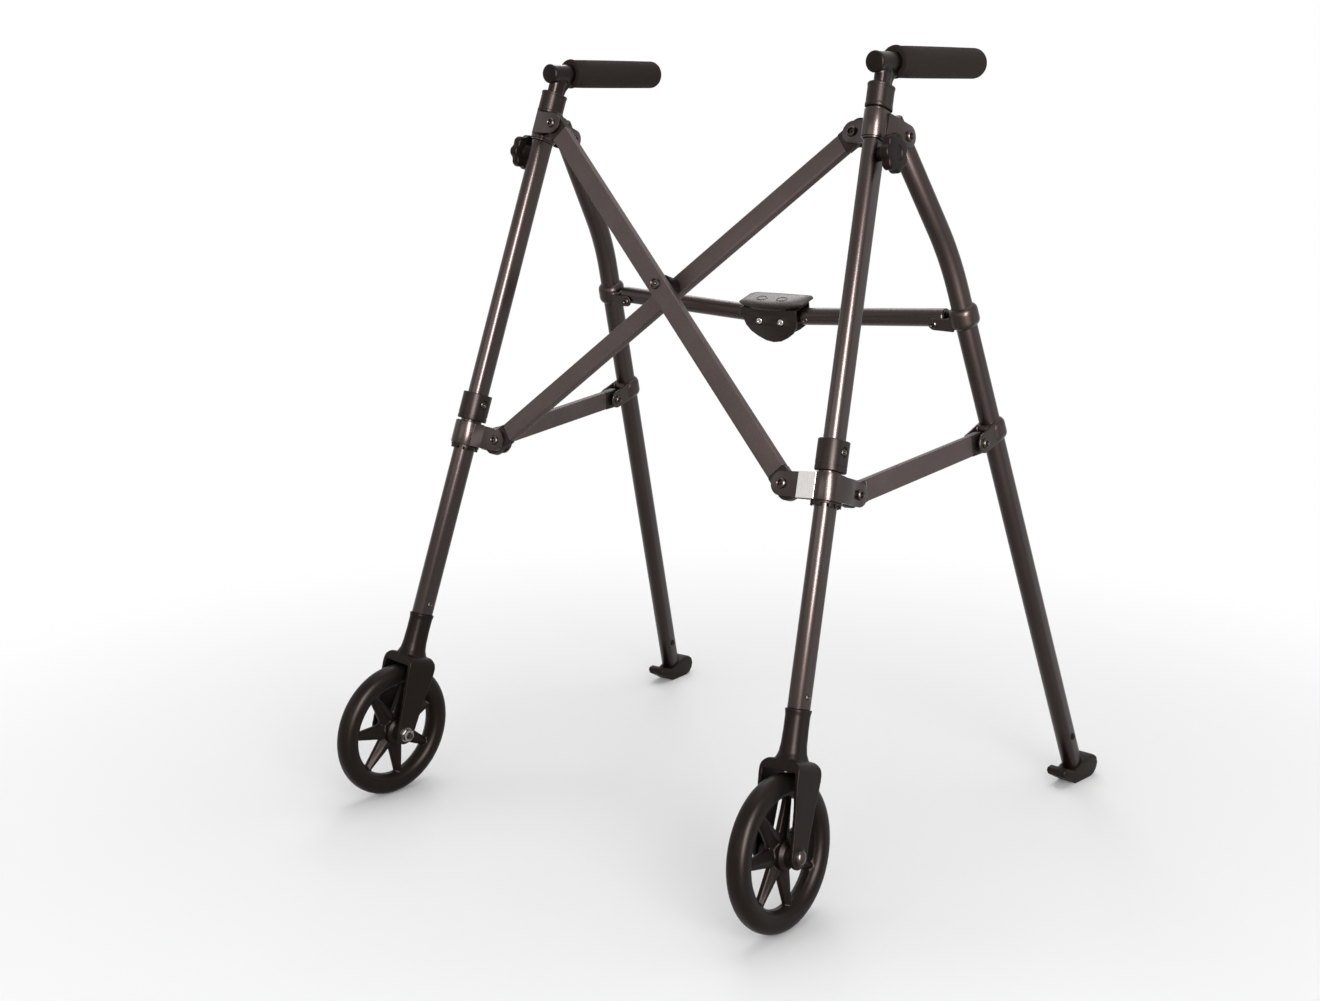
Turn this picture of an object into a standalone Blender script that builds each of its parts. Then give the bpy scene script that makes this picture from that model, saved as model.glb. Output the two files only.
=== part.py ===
"""Folding walker with two front wheels, two rear glides and two hand grips.

Units are metres and +Z is up. The user walks towards -Y, and the left side of the walker is at +X.
Every left piece is described once, and its right twin is the mirror image across the plane x = 0.
"""
import math

import bmesh
import bpy
from mathutils import Matrix, Vector

# Stance of the frame
LEAN = math.radians(17.8)           # the front legs lean back
SPLAY = math.radians(4.1)           # and spread towards the floor, in their own plane
TOE = math.radians(4.3)             # each side frame opens out towards the rear
TRACK = 0.558                       # distance between the leg axes where they would meet the floor
PLANE_Y = -0.27295                  # where the plane of the front legs meets the floor

# Fits
GAP = 0.0003                        # between pieces that seat on each other
HINGE_GAP = 0.0004                  # each side of a tongue in its clevis
PIN_R = 0.003                       # every pivot pin
PIN_GAP = 0.0003
HEAD_R = 0.0055
HEAD_H = 0.0028
HEAD_SINK = 0.001                   # of a fixed head, in the plate that carries it
EAR_T = 0.003                       # thickness of every clevis plate
EYE_R = 0.0115                      # round end of a plate or tongue about its pin
TONGUE_T = 0.010                    # thickness of every plastic tongue
PLUG_DEPTH = 0.018                  # how far a plastic end plug reaches into its tube

# Front legs
LEG_W = 0.017
LEG_D = 0.0265
LEG_WALL = 0.0015
LEG_LENGTH = 0.5895
NECK_RISE = 0.0572                  # black neck of the fork, from the tyre's clearance to the leg tube

# Wheels and forks
WHEEL_R = 0.0762
TYRE_W = 0.022
TYRE_CORNER = 0.006
RIM_R = 0.0615
WINDOW_R = 0.0535
RIM_W = 0.019
HUB_R = 0.0155
SPOKES = 7
SPOKE_W = 0.011
SPOKE_T = 0.012
AXLE_R = 0.004
AXLE_GAP = 0.0003
FORK_GAP = 0.038                    # clear width between the fork's arms
ARM_T = 0.004
ARM_END_R = 0.011
CROWN_D = 0.040                     # depth of the fork at its shoulders
TYRE_CLEARANCE = 0.003
CROWN_T = 0.007
HUB_CLEARANCE = 0.0006
NECK_W = 0.0205
NECK_D = 0.030
SHOULDER_SLOPE = 0.010              # height in which the shoulders run up to the neck
TONGUE_IN_LEG = 0.024

# Brackets at the top of the front legs
BRACKET_H = 0.027
BRACKET_W = 0.022
BRACKET_D = 0.0315
BRACKET_DROP = 0.0195               # from the top of the leg tube to the middle of the bracket
WEB_T = 0.006                       # block that joins the offset clevis to the sleeve
BRACE_EYE_IN = 0.0343               # pin of the brace, inwards from the leg's axis
REAR_EYE_BACK = 0.0380              # pin of the rear leg, behind the leg's axis

# Telescoping handles
BUSHING_W = 0.021
BUSHING_D = 0.0305
BUSHING_H = 0.024
BUSHING_LAP = 0.003                 # the bushing's skirt over the end of the leg tube
POST_W = 0.0134
POST_D = 0.0204
POST_WALL = 0.0013
POST_LENGTH = 0.300
POST_RISE = 0.0452                  # from the top of the leg tube to the middle of the handle tube
HANDLE_R = 0.010
HANDLE_WALL = 0.0015
HANDLE_FRONT = 0.0155               # the handle tube in front of its post
HANDLE_BACK = 0.162                 # and behind it
HANDLE_PITCH = math.radians(1.1)
HANDLE_TOE = math.radians(1.4)
GRIP_START = 0.009
GRIP_R = 0.01575
FLANGE_R = 0.0164
FLANGE_L = 0.010
GRIP_END = 0.008                    # thickness of foam behind the end of the tube
CAP_T = 0.0032
CAP_R = 0.0106
KNOB_R = 0.019
KNOB_T = 0.008
KNOB_LOBES = 7
KNOB_LOBE = 0.0016
KNOB_NECK_R = 0.007
KNOB_STAND = 0.0105                 # length of the knob's neck
KNOB_SHANK_R = 0.004
KNOB_DROP = 0.0486                  # from the top of the leg tube to the knob

# Stop sleeve and sliding collar
STOP_W = 0.026
STOP_D = 0.036
STOP_H = 0.031
STOP_FALL = 0.331                   # from the top of the leg tube to the top of the stop sleeve
COLLAR_W = 0.027
COLLAR_D = 0.037
COLLAR_WALL = 0.0013
COLLAR_H = 0.026
COLLAR_BELOW_STOP = 0.0026
COLLAR_EYE_IN = 0.0437
STRUT_EYE_BACK = 0.0410
LINER_SIDE_GAP = 0.0026             # the collar rocks a little as the brace folds
LINER_FACE_GAP = 0.0004
LIP_H = 0.0068
LIP_OUT = 0.001
LIP_NOTCH = 0.004

# Cross brace
BAR_W = 0.022
BAR_T = 0.010
BAR_WALL = 0.0013
BAR_CORNER = 0.0025
BAR_END = 0.016                     # from a pin to the end of its tube
FRONT_BAR_TOP = 0.020               # front of the legs' plane, at the right bracket
FRONT_BAR_LOW = 0.008               # and at the left collar
REAR_BAR_TOP = 0.018                # behind the legs' plane, at the left bracket
REAR_BAR_LOW = 0.008                # and at the right collar
BRACE_PIN_R = 0.0035
BRACE_HEAD_R = 0.006
BRACE_HEAD_H = 0.0026
SPACER_R = 0.008

# Rear legs
REAR_W = 0.0195
REAR_D = 0.025
REAR_WALL = 0.0015
REAR_ABOVE_EYE = 0.015              # the tube above its pivot
REAR_UPPER_RUN = 0.1466             # from the pivot to the corner of the bend
REAR_UPPER_ANGLE = math.radians(51.2)
REAR_LOWER_ANGLE = math.radians(36.5)
REAR_BEND_R = 0.280
REAR_CUT = 0.0178                   # height of the tube's lower end above the floor
RING_WALL = 0.0022
RING_H = 0.016
CROSS_RING_RUN = 0.0660             # from the corner to the crossbar's ring
CROSS_EYE_IN = 0.0314
CROSS_EYE_DROP = 0.0064
STRUT_RING_RUN = 0.1985             # from the corner to the strut's ring
STRUT_EYE_FRONT = 0.0323
STRUT_EAR_GAP = 0.0032              # each side of the strut in its ring, which is an open pivot

# Feet
FOOT_W = 0.0235
FOOT_SOLE = [(-0.0095, 0.0), (0.0220, 0.0), (0.0295, 0.0022), (0.0350, 0.0075), (0.0370, 0.0145),
             (0.0345, 0.0215), (0.0280, 0.0258), (0.0150, 0.0268), (-0.0130, 0.0160), (-0.0200, 0.0188),
             (-0.0285, 0.0225), (-0.0350, 0.0217), (-0.0372, 0.0180), (-0.0345, 0.0132), (-0.0270, 0.0085),
             (-0.0180, 0.0036)]      # outline of the glide, backwards and up from below the tube's end
SPIGOT_UP = 0.046                   # the foot's spigot inside the tube

# Rear crossbar
CROSS_R = 0.0097
CROSS_WALL = 0.0013
CROSS_LIFT = 0.0030                 # tube axis above the line of its pins
CROSS_SAG = 0.0122                  # the middle pins below the outer ones
CROSS_OUTER_END = 0.014             # from the outer pin to the tube
BLOCK_PIN = 0.015                   # each middle pin from the walker's mid plane
CROSS_INNER_END = 0.0525            # from the mid plane to the tube
BLOCK_WALL = 0.0026
BLOCK_SIDE_GAP = 0.0022             # between the tubes and the cheeks
BLOCK_TOP = 0.0228                  # above the pins
BLOCK_EDGE = 0.0203
BLOCK_ROOF_LOW = 0.0160
BLOCK_CHEEK = [(0.0395, 0.0170), (0.0380, 0.0040), (0.0355, -0.0050), (0.0295, -0.0125), (0.0205, -0.0185),
               (0.0105, -0.0231), (0.0, -0.0247)]       # half outline of a cheek, outwards and up
BLOCK_PLAN = [(0.0, -0.0195), (0.0130, -0.0187), (0.0260, -0.0162), (0.0375, -0.0118), (0.0430, -0.0070),
              (0.0430, 0.0160), (0.0380, 0.0205), (0.0, 0.0210)]   # half outline of the roof, outwards and back
BLOCK_UNDERCUT = 0.86               # the roof's underside against its rim
HALF_TONGUE_T = 0.0066              # the two middle tongues pass each other
TIP_R = 0.0075
CROSS_PLUG = 0.010                  # solid ends of the tube
CROSS_CHAMFER = 0.0025
VENT_R = 0.002
RIGHT_TONGUE_SHORT = 0.016          # the right one stops short of its pin, an open pivot

OVAL_STEPS = 6
ROUND = 18
SMALL_ROUND = 10
WHEEL_ROUND = 34

BLACK_PLASTIC = ("black_plastic", (0.030, 0.030, 0.034), 0.42, 0.0)
DARK_RUBBER = ("dark_rubber", (0.045, 0.045, 0.048), 0.75, 0.0)
FOAM = ("foam", (0.035, 0.034, 0.036), 0.95, 0.0)
PAINT = ("metallic_paint", (0.62, 0.50, 0.51), 0.30, 0.85)
STEEL = ("bright_steel", (0.72, 0.72, 0.74), 0.25, 1.0)

LEFT = 1
RIGHT = -1
SIDE_NAMES = {LEFT: "left", RIGHT: "right"}
X = Vector((1.0, 0.0, 0.0))
UP_PLANE = Vector((0.0, math.sin(LEAN), math.cos(LEAN)))
FORWARD = Vector((0.0, -math.cos(LEAN), math.sin(LEAN)))


def frame(origin, x, y, z):
    """Matrix of a right-handed frame."""
    matrix = Matrix((x, y, z)).transposed().to_4x4()
    matrix.translation = origin
    return matrix


def on_side(matrix, side):
    """The same frame on the left, or its mirror twin on the right."""
    if side == LEFT:
        return matrix
    flip = Matrix.Diagonal((-1.0, 1.0, 1.0, 1.0))
    return flip @ matrix @ flip


def mirrored(point):
    return Vector((-point.x, point.y, point.z))


# Frames of the left side: leg (out, back, up), side plane (out, back, up)
LEG_OUT = math.cos(SPLAY) * X + math.sin(SPLAY) * UP_PLANE
LEG_UP = -math.sin(SPLAY) * X + math.cos(SPLAY) * UP_PLANE
LEG_BACK = -FORWARD
LEG_FRAME = frame(Vector((TRACK / 2, PLANE_Y, 0.0)), LEG_OUT, LEG_BACK, LEG_UP)
SIDE_OUT = math.cos(TOE) * LEG_OUT - math.sin(TOE) * LEG_BACK
SIDE_BACK = math.cos(TOE) * LEG_BACK + math.sin(TOE) * LEG_OUT
SIDE_FRAME = frame(LEG_FRAME.translation, SIDE_OUT, SIDE_BACK, LEG_UP)

# Heights along the leg
TYRE_TILT = math.asin(LEG_OUT.z)
TYRE_REACH = ((WHEEL_R - TYRE_CORNER) * math.cos(TYRE_TILT)
              + (TYRE_W / 2 - TYRE_CORNER) * math.sin(TYRE_TILT) + TYRE_CORNER)
AXLE_C = TYRE_REACH / LEG_UP.z
ARCH_C = AXLE_C + WHEEL_R + TYRE_CLEARANCE
SHOULDER_C = ARCH_C + CROWN_T
LEG_END_C = ARCH_C + NECK_RISE
LEG_TOP_C = LEG_END_C + LEG_LENGTH
BRACKET_C = LEG_TOP_C - BRACKET_DROP
KNOB_C = LEG_TOP_C - KNOB_DROP
HANDLE_C = LEG_TOP_C + POST_RISE
STOP_TOP_C = LEG_TOP_C - STOP_FALL
STOP_LOW_C = STOP_TOP_C - STOP_H
COLLAR_TOP_C = STOP_LOW_C - COLLAR_BELOW_STOP
COLLAR_C = COLLAR_TOP_C - COLLAR_H / 2

# Pivots of the left side in the walker's frame, and their mirror twins
BRACE_TOP = {LEFT: LEG_FRAME @ Vector((-BRACE_EYE_IN, REAR_BAR_TOP, BRACKET_C))}
BRACE_TOP[RIGHT] = mirrored(LEG_FRAME @ Vector((-BRACE_EYE_IN, -FRONT_BAR_TOP, BRACKET_C)))
BRACE_LOW = {LEFT: LEG_FRAME @ Vector((-COLLAR_EYE_IN, -FRONT_BAR_LOW, COLLAR_C))}
BRACE_LOW[RIGHT] = mirrored(LEG_FRAME @ Vector((-COLLAR_EYE_IN, REAR_BAR_LOW, COLLAR_C)))
REAR_EYE = SIDE_FRAME @ Vector((0.0, REAR_EYE_BACK, BRACKET_C))
STRUT_EYE = SIDE_FRAME @ Vector((0.0, STRUT_EYE_BACK, COLLAR_C))

# Rear leg: directions of its two runs, in the side plane, and its corner
UPPER_RUN = math.sin(REAR_UPPER_ANGLE) * SIDE_BACK - math.cos(REAR_UPPER_ANGLE) * LEG_UP
LOWER_RUN = math.sin(REAR_LOWER_ANGLE) * SIDE_BACK - math.cos(REAR_LOWER_ANGLE) * LEG_UP
LOWER_FRONT = -math.cos(REAR_LOWER_ANGLE) * SIDE_BACK - math.sin(REAR_LOWER_ANGLE) * LEG_UP
CORNER = REAR_EYE + REAR_UPPER_RUN * UPPER_RUN
REAR_END_RUN = (REAR_CUT - CORNER.z) / LOWER_RUN.z
REAR_END = CORNER + REAR_END_RUN * LOWER_RUN
STRUT_FAR_EYE = CORNER + STRUT_RING_RUN * LOWER_RUN + STRUT_EYE_FRONT * LOWER_FRONT

# Crossbar: it folds in the plane that holds X and the rear leg's lower run
CROSS_BACK = LOWER_RUN.cross(X).normalized()
if CROSS_BACK.y < 0.0:
    CROSS_BACK = -CROSS_BACK
CROSS_UP = X.cross(CROSS_BACK)
CROSS_RING = CORNER + CROSS_RING_RUN * LOWER_RUN
CROSS_EYE = CROSS_RING - CROSS_EYE_IN * X - CROSS_EYE_DROP * CROSS_UP
BLOCK_EYE = CROSS_EYE - CROSS_SAG * CROSS_UP
BLOCK_EYE = Vector((BLOCK_PIN, BLOCK_EYE.y, BLOCK_EYE.z))


def circle(radius, steps=ROUND, lobes=0, lobe=0.0):
    """Points of a circle, or of a lobed knob, in the XY plane."""
    points = []
    for step in range(steps):
        turn = math.tau * (step + 0.5) / steps
        reach = radius + lobe * math.cos(lobes * turn)
        points.append((reach * math.cos(turn), reach * math.sin(turn)))
    return points


def oval(width, depth, steps=OVAL_STEPS):
    """Flat-sided oval, width along x and depth along y."""
    radius = width / 2
    shift = depth / 2 - radius
    points = []
    for centre, start in ((shift, 0.0), (-shift, math.pi)):
        for step in range(steps + 1):
            turn = start + math.pi * step / steps
            points.append((radius * math.cos(turn), centre + radius * math.sin(turn)))
    return points


def rounded_box(width, depth, corner, steps=2):
    """Rectangle with round corners."""
    points = []
    for quarter, (sx, sy) in enumerate(((1, 1), (-1, 1), (-1, -1), (1, -1))):
        for step in range(steps + 1):
            turn = (quarter + step / steps) * math.pi / 2
            x = sx * (width / 2 - corner) + corner * math.cos(turn)
            y = sy * (depth / 2 - corner) + corner * math.sin(turn)
            points.append((x, y))
    return points


def level(outline, z):
    """An outline lifted to height z."""
    return [(x, y, z) for x, y in outline]


def loft(loops, wrap=False):
    """Closed solid through loops of equal length, capped at its ends or wrapped into a ring."""
    bm = bmesh.new()
    rings = [[bm.verts.new(point) for point in loop] for loop in loops]
    pairs = list(zip(rings, rings[1:]))
    if wrap:
        pairs.append((rings[-1], rings[0]))
    else:
        bm.faces.new(rings[0])
        bm.faces.new(rings[-1])
    for low, high in pairs:
        for i in range(len(low)):
            j = (i + 1) % len(low)
            bm.faces.new((low[i], low[j], high[j], high[i]))
    bmesh.ops.recalc_face_normals(bm, faces=bm.faces)
    return bm


def bar(outline, z0, z1):
    return loft([level(outline, z0), level(outline, z1)])


def pipe(outer, inner, z0, z1):
    """Tube open at both ends."""
    return loft([level(outer, z0), level(outer, z1), level(inner, z1), level(inner, z0)], wrap=True)


def turned(profile, steps=ROUND, wrap=False):
    """Solid of revolution about z from (radius, height) pairs."""
    return loft([level(circle(radius, steps), z) for radius, z in profile], wrap)


def plate(outline, x0, x1):
    """A (y, z) outline extruded along x."""
    return loft([[(x, y, z) for y, z in outline] for x in (x0, x1)])


def cross_plate(outline, y0, y1):
    """An (x, z) outline extruded along y."""
    return loft([[(x, y, z) for x, z in outline] for y in (y0, y1)])


def strap(start, end, width, radius, steps=6):
    """Outline from a square end at start to a round end about end."""
    start = Vector(start)
    end = Vector(end)
    along = (end - start).normalized()
    across = Vector((-along.y, along.x))
    points = [start - across * width / 2, end - across * radius]
    for step in range(1, steps):
        turn = math.pi * step / steps
        points.append(end + radius * (math.sin(turn) * along - math.cos(turn) * across))
    points += [end + across * radius, start + across * width / 2]
    return [(point.x, point.y) for point in points]


def moved(bm, matrix):
    bmesh.ops.transform(bm, matrix=matrix, verts=bm.verts)
    return bm


def material(finish):
    name, colour, roughness, metallic = finish
    found = bpy.data.materials.get(name)
    if found:
        return found
    made = bpy.data.materials.new(name)
    made.use_nodes = True
    shader = made.node_tree.nodes["Principled BSDF"]
    shader.inputs["Base Color"].default_value = (*colour, 1.0)
    shader.inputs["Roughness"].default_value = roughness
    shader.inputs["Metallic"].default_value = metallic
    return made


def mesh_object(name, bm, matrix, side):
    """Object of a solid that is described for the left side."""
    if side == RIGHT:
        bmesh.ops.scale(bm, vec=(-1.0, 1.0, 1.0), verts=bm.verts)
        bmesh.ops.recalc_face_normals(bm, faces=bm.faces)
    mesh = bpy.data.meshes.new(name)
    bm.to_mesh(mesh)
    bm.free()
    mesh.shade_smooth()
    mesh.set_sharp_from_angle(angle=math.radians(38.0))
    made = bpy.data.objects.new(name, mesh)
    bpy.context.scene.collection.objects.link(made)
    made.matrix_world = on_side(matrix, side)
    return made


def pivot(name, point):
    """Empty on a joint's axis, which carries the pieces of one moving body."""
    empty = bpy.data.objects.new(name, None)
    empty.empty_display_size = 0.02
    empty.location = point
    bpy.context.scene.collection.objects.link(empty)
    return empty


def node(name, bm, matrix, side, carrier, finish):
    """A named piece on its body's empty."""
    made = mesh_object(name, bm, matrix, side)
    made.data.materials.append(material(finish))
    if carrier:
        made.parent = carrier
        made.matrix_basis = Matrix.Translation(carrier.location).inverted() @ on_side(matrix, side)
    return made


def combine(target, bm, matrix, side, operation):
    """Boolean modifier with a tool that stays in the file as a wire guide."""
    tool = mesh_object(target.name + "_tool", bm, matrix, side)
    tool.hide_render = True
    tool.display_type = "WIRE"
    modifier = target.modifiers.new(operation.lower(), "BOOLEAN")
    modifier.operation = operation
    modifier.solver = "EXACT"
    modifier.object = tool


def add(target, bm, matrix, side):
    combine(target, bm, matrix, side, "UNION")


def cut(target, bm, matrix, side):
    combine(target, bm, matrix, side, "DIFFERENCE")


def facing(origin, axis, up):
    """Frame whose z runs along axis, for turned pieces, with y towards up."""
    z = axis.normalized()
    x = up.cross(z).normalized()
    return frame(origin, x, z.cross(x), z)


def hole(radius, reach):
    return bar(circle(radius, SMALL_ROUND), -reach, reach)


def pin(radius, head, head_height, low, high):
    """Pin along z from low to high, with a domed head outside each end."""
    crown = head * 0.62
    return turned([(crown, low - head_height), (head, low - head_height * 0.45), (head, low),
                   (radius, low), (radius, high), (head, high),
                   (head, high + head_height * 0.45), (crown, high + head_height)], SMALL_ROUND)


def make_front_leg(side, body):
    """Oval tube of the front leg and the stop sleeve on it."""
    label = SIDE_NAMES[side]
    outer = oval(LEG_W, LEG_D)
    inner = oval(LEG_W - 2 * LEG_WALL, LEG_D - 2 * LEG_WALL)
    leg = node(label + "_front_leg", pipe(outer, inner, LEG_END_C, LEG_TOP_C), LEG_FRAME, side, body, PAINT)
    knob_hole = facing(LEG_FRAME @ Vector((LEG_W / 2, 0.0, KNOB_C)), LEG_OUT, LEG_UP)
    cut(leg, hole(KNOB_SHANK_R + PIN_GAP, LEG_WALL * 2), knob_hole, side)

    seat_w = LEG_W + 2 * GAP
    seat_d = LEG_D + 2 * GAP
    node(label + "_stop_sleeve", pipe(oval(STOP_W, STOP_D), oval(seat_w, seat_d), STOP_LOW_C, STOP_TOP_C),
         LEG_FRAME, side, body, BLACK_PLASTIC)


def clevis(target, side, place, half_gap, reach, radius, width):
    """Two parallel plates about a pin. The frame has z along the pin and x towards the tube."""
    for low, high in ((half_gap, half_gap + EAR_T), (-half_gap - EAR_T, -half_gap)):
        ear = loft([level(strap((reach, 0.0), (0.0, 0.0), width, radius), z) for z in (low, high)])
        add(target, ear, place, side)


def bolt_hole(target, side, place, half_gap):
    cut(target, hole(PIN_R + PIN_GAP, half_gap + 2 * EAR_T), place, side)


def clevis_bolt(name, half_gap, place, side, body):
    """Bolt through a clevis, with a domed head on each outer face."""
    half = half_gap + EAR_T + GAP
    node(name, pin(PIN_R, HEAD_R, HEAD_H, -half, half), place, side, body, STEEL)


def eye_frame(point, axis, towards):
    """Frame on a pin, z along its axis and x towards what carries it."""
    z = axis.normalized()
    x = (towards - towards.dot(z) * z).normalized()
    return frame(point, x, z.cross(x), z)


def make_bracket(side, body):
    """Sleeve at the top of the leg with a clevis for the brace and one for the rear leg."""
    low = BRACKET_C - BRACKET_H / 2
    high = BRACKET_C + BRACKET_H / 2
    bracket = node(SIDE_NAMES[side] + "_top_bracket", bar(oval(BRACKET_W, BRACKET_D), low, high),
                   LEG_FRAME, side, body, BLACK_PLASTIC)
    pin_place = BRACE_TOP[side] if side == LEFT else mirrored(BRACE_TOP[side])
    local = LEG_FRAME.inverted() @ pin_place
    half_gap = TONGUE_T / 2 + HINGE_GAP
    outer_face = abs(local.y) + half_gap + EAR_T
    if side == LEFT:
        web_y = (BRACKET_D / 2 - 0.006, outer_face)
    else:
        web_y = (-outer_face, -BRACKET_D / 2 + 0.006)
    web_out = -BRACKET_W / 2 - WEB_T / 2
    web_in = -BRACKET_W / 2 + WEB_T / 2
    web = cross_plate([(web_out, low + 0.001), (web_in, low + 0.001), (web_in, high - 0.001),
                       (web_out, high - 0.001)], *web_y)
    add(bracket, web, LEG_FRAME, side)
    brace_eye = eye_frame(pin_place, LEG_BACK, LEG_OUT)
    clevis(bracket, side, brace_eye, half_gap, BRACE_EYE_IN + web_in - 0.0005, EYE_R, BRACKET_H - 0.002)
    bolt_hole(bracket, side, brace_eye, half_gap)
    clevis_bolt(SIDE_NAMES[side] + "_brace_top_bolt", half_gap, brace_eye, side, body)
    rear_eye = eye_frame(REAR_EYE, SIDE_OUT, -SIDE_BACK)
    rear_gap = REAR_W / 2 + HINGE_GAP
    clevis(bracket, side, rear_eye, rear_gap, REAR_EYE_BACK - 0.002, EYE_R, BRACKET_H - 0.002)
    bolt_hole(bracket, side, rear_eye, rear_gap)
    clevis_bolt(SIDE_NAMES[side] + "_rear_leg_bolt", rear_gap, rear_eye, side, body)
    cut(bracket, bar(oval(LEG_W + 2 * GAP, LEG_D + 2 * GAP), low - 0.01, high + 0.01), LEG_FRAME, side)


def make_handle(side, leg_body, handle_body, knob_body):
    """Telescoping post with the handle tube welded on, its bushing, foam grip, cap and knob."""
    label = SIDE_NAMES[side]
    top = LEG_TOP_C + GAP + BUSHING_H - BUSHING_LAP
    bushing = node(label + "_post_bushing",
                   bar(oval(BUSHING_W, BUSHING_D), LEG_TOP_C - BUSHING_LAP, top),
                   LEG_FRAME, side, leg_body, BLACK_PLASTIC)
    cut(bushing, bar(oval(LEG_W + 2 * GAP, LEG_D + 2 * GAP), LEG_TOP_C - 0.02, LEG_TOP_C + GAP), LEG_FRAME, side)
    cut(bushing, bar(oval(POST_W + 2 * GAP, POST_D + 2 * GAP), LEG_TOP_C - 0.02, top + 0.01), LEG_FRAME, side)

    centre = LEG_FRAME @ Vector((0.0, 0.0, HANDLE_C))
    along = Vector((math.sin(HANDLE_TOE), math.cos(HANDLE_TOE), math.tan(HANDLE_PITCH))).normalized()
    grip_frame = facing(centre, along, Vector((0.0, 0.0, 1.0)))
    post = node(label + "_handle_post", bar(circle(HANDLE_R), -HANDLE_FRONT, HANDLE_BACK),
                grip_frame, side, handle_body, PAINT)
    post_low = HANDLE_C - POST_LENGTH
    add(post, bar(oval(POST_W, POST_D), post_low, HANDLE_C), LEG_FRAME, side)
    cut(post, bar(circle(HANDLE_R - HANDLE_WALL), -HANDLE_FRONT - 0.01, HANDLE_BACK + 0.01), grip_frame, side)
    cut(post, bar(oval(POST_W - 2 * POST_WALL, POST_D - 2 * POST_WALL), post_low - 0.01,
                  HANDLE_C - HANDLE_R - 0.002), LEG_FRAME, side)

    inner = HANDLE_R + GAP
    end = HANDLE_BACK + GAP + GRIP_END
    dome = [(GRIP_R * math.cos(turn), end - GRIP_END + GRIP_END * math.sin(turn))
            for turn in (math.radians(a) for a in (0.0, 30.0, 52.0, 72.0))]
    profile = [(inner, HANDLE_BACK + GAP), (inner, GRIP_START), (FLANGE_R - 0.001, GRIP_START),
               (FLANGE_R, GRIP_START + 0.001), (FLANGE_R, GRIP_START + FLANGE_L - 0.0015),
               (GRIP_R, GRIP_START + FLANGE_L)]
    grip = turned(profile + dome)
    node(label + "_handle_grip", grip, grip_frame, side, handle_body, FOAM)

    bore = HANDLE_R - HANDLE_WALL - GAP
    cap = turned([(CAP_R - 0.002, -HANDLE_FRONT - GAP - CAP_T), (CAP_R, -HANDLE_FRONT - GAP - CAP_T * 0.5),
                  (CAP_R, -HANDLE_FRONT - GAP), (bore, -HANDLE_FRONT - GAP), (bore, -HANDLE_FRONT + 0.004)])
    node(label + "_handle_cap", cap, grip_frame, side, handle_body, BLACK_PLASTIC)

    steps = KNOB_LOBES * 3
    face = LEG_W / 2 + GAP
    disc = face + KNOB_STAND
    knob = loft([level(circle(KNOB_SHANK_R, steps), POST_W / 2 + GAP), level(circle(KNOB_SHANK_R, steps), face),
                 level(circle(KNOB_NECK_R, steps), face), level(circle(KNOB_NECK_R, steps), disc),
                 level(circle(KNOB_R - 0.003, steps, KNOB_LOBES, KNOB_LOBE), disc),
                 level(circle(KNOB_R - KNOB_LOBE, steps, KNOB_LOBES, KNOB_LOBE), disc + 0.002),
                 level(circle(KNOB_R - KNOB_LOBE, steps, KNOB_LOBES, KNOB_LOBE), disc + KNOB_T - 0.0025),
                 level(circle(KNOB_R - 0.0045, steps, KNOB_LOBES, KNOB_LOBE), disc + KNOB_T)])
    knob_place = facing(LEG_FRAME @ Vector((0.0, 0.0, KNOB_C)), LEG_OUT, LEG_UP)
    node(label + "_height_knob", knob, knob_place, side, knob_body, BLACK_PLASTIC)


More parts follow.
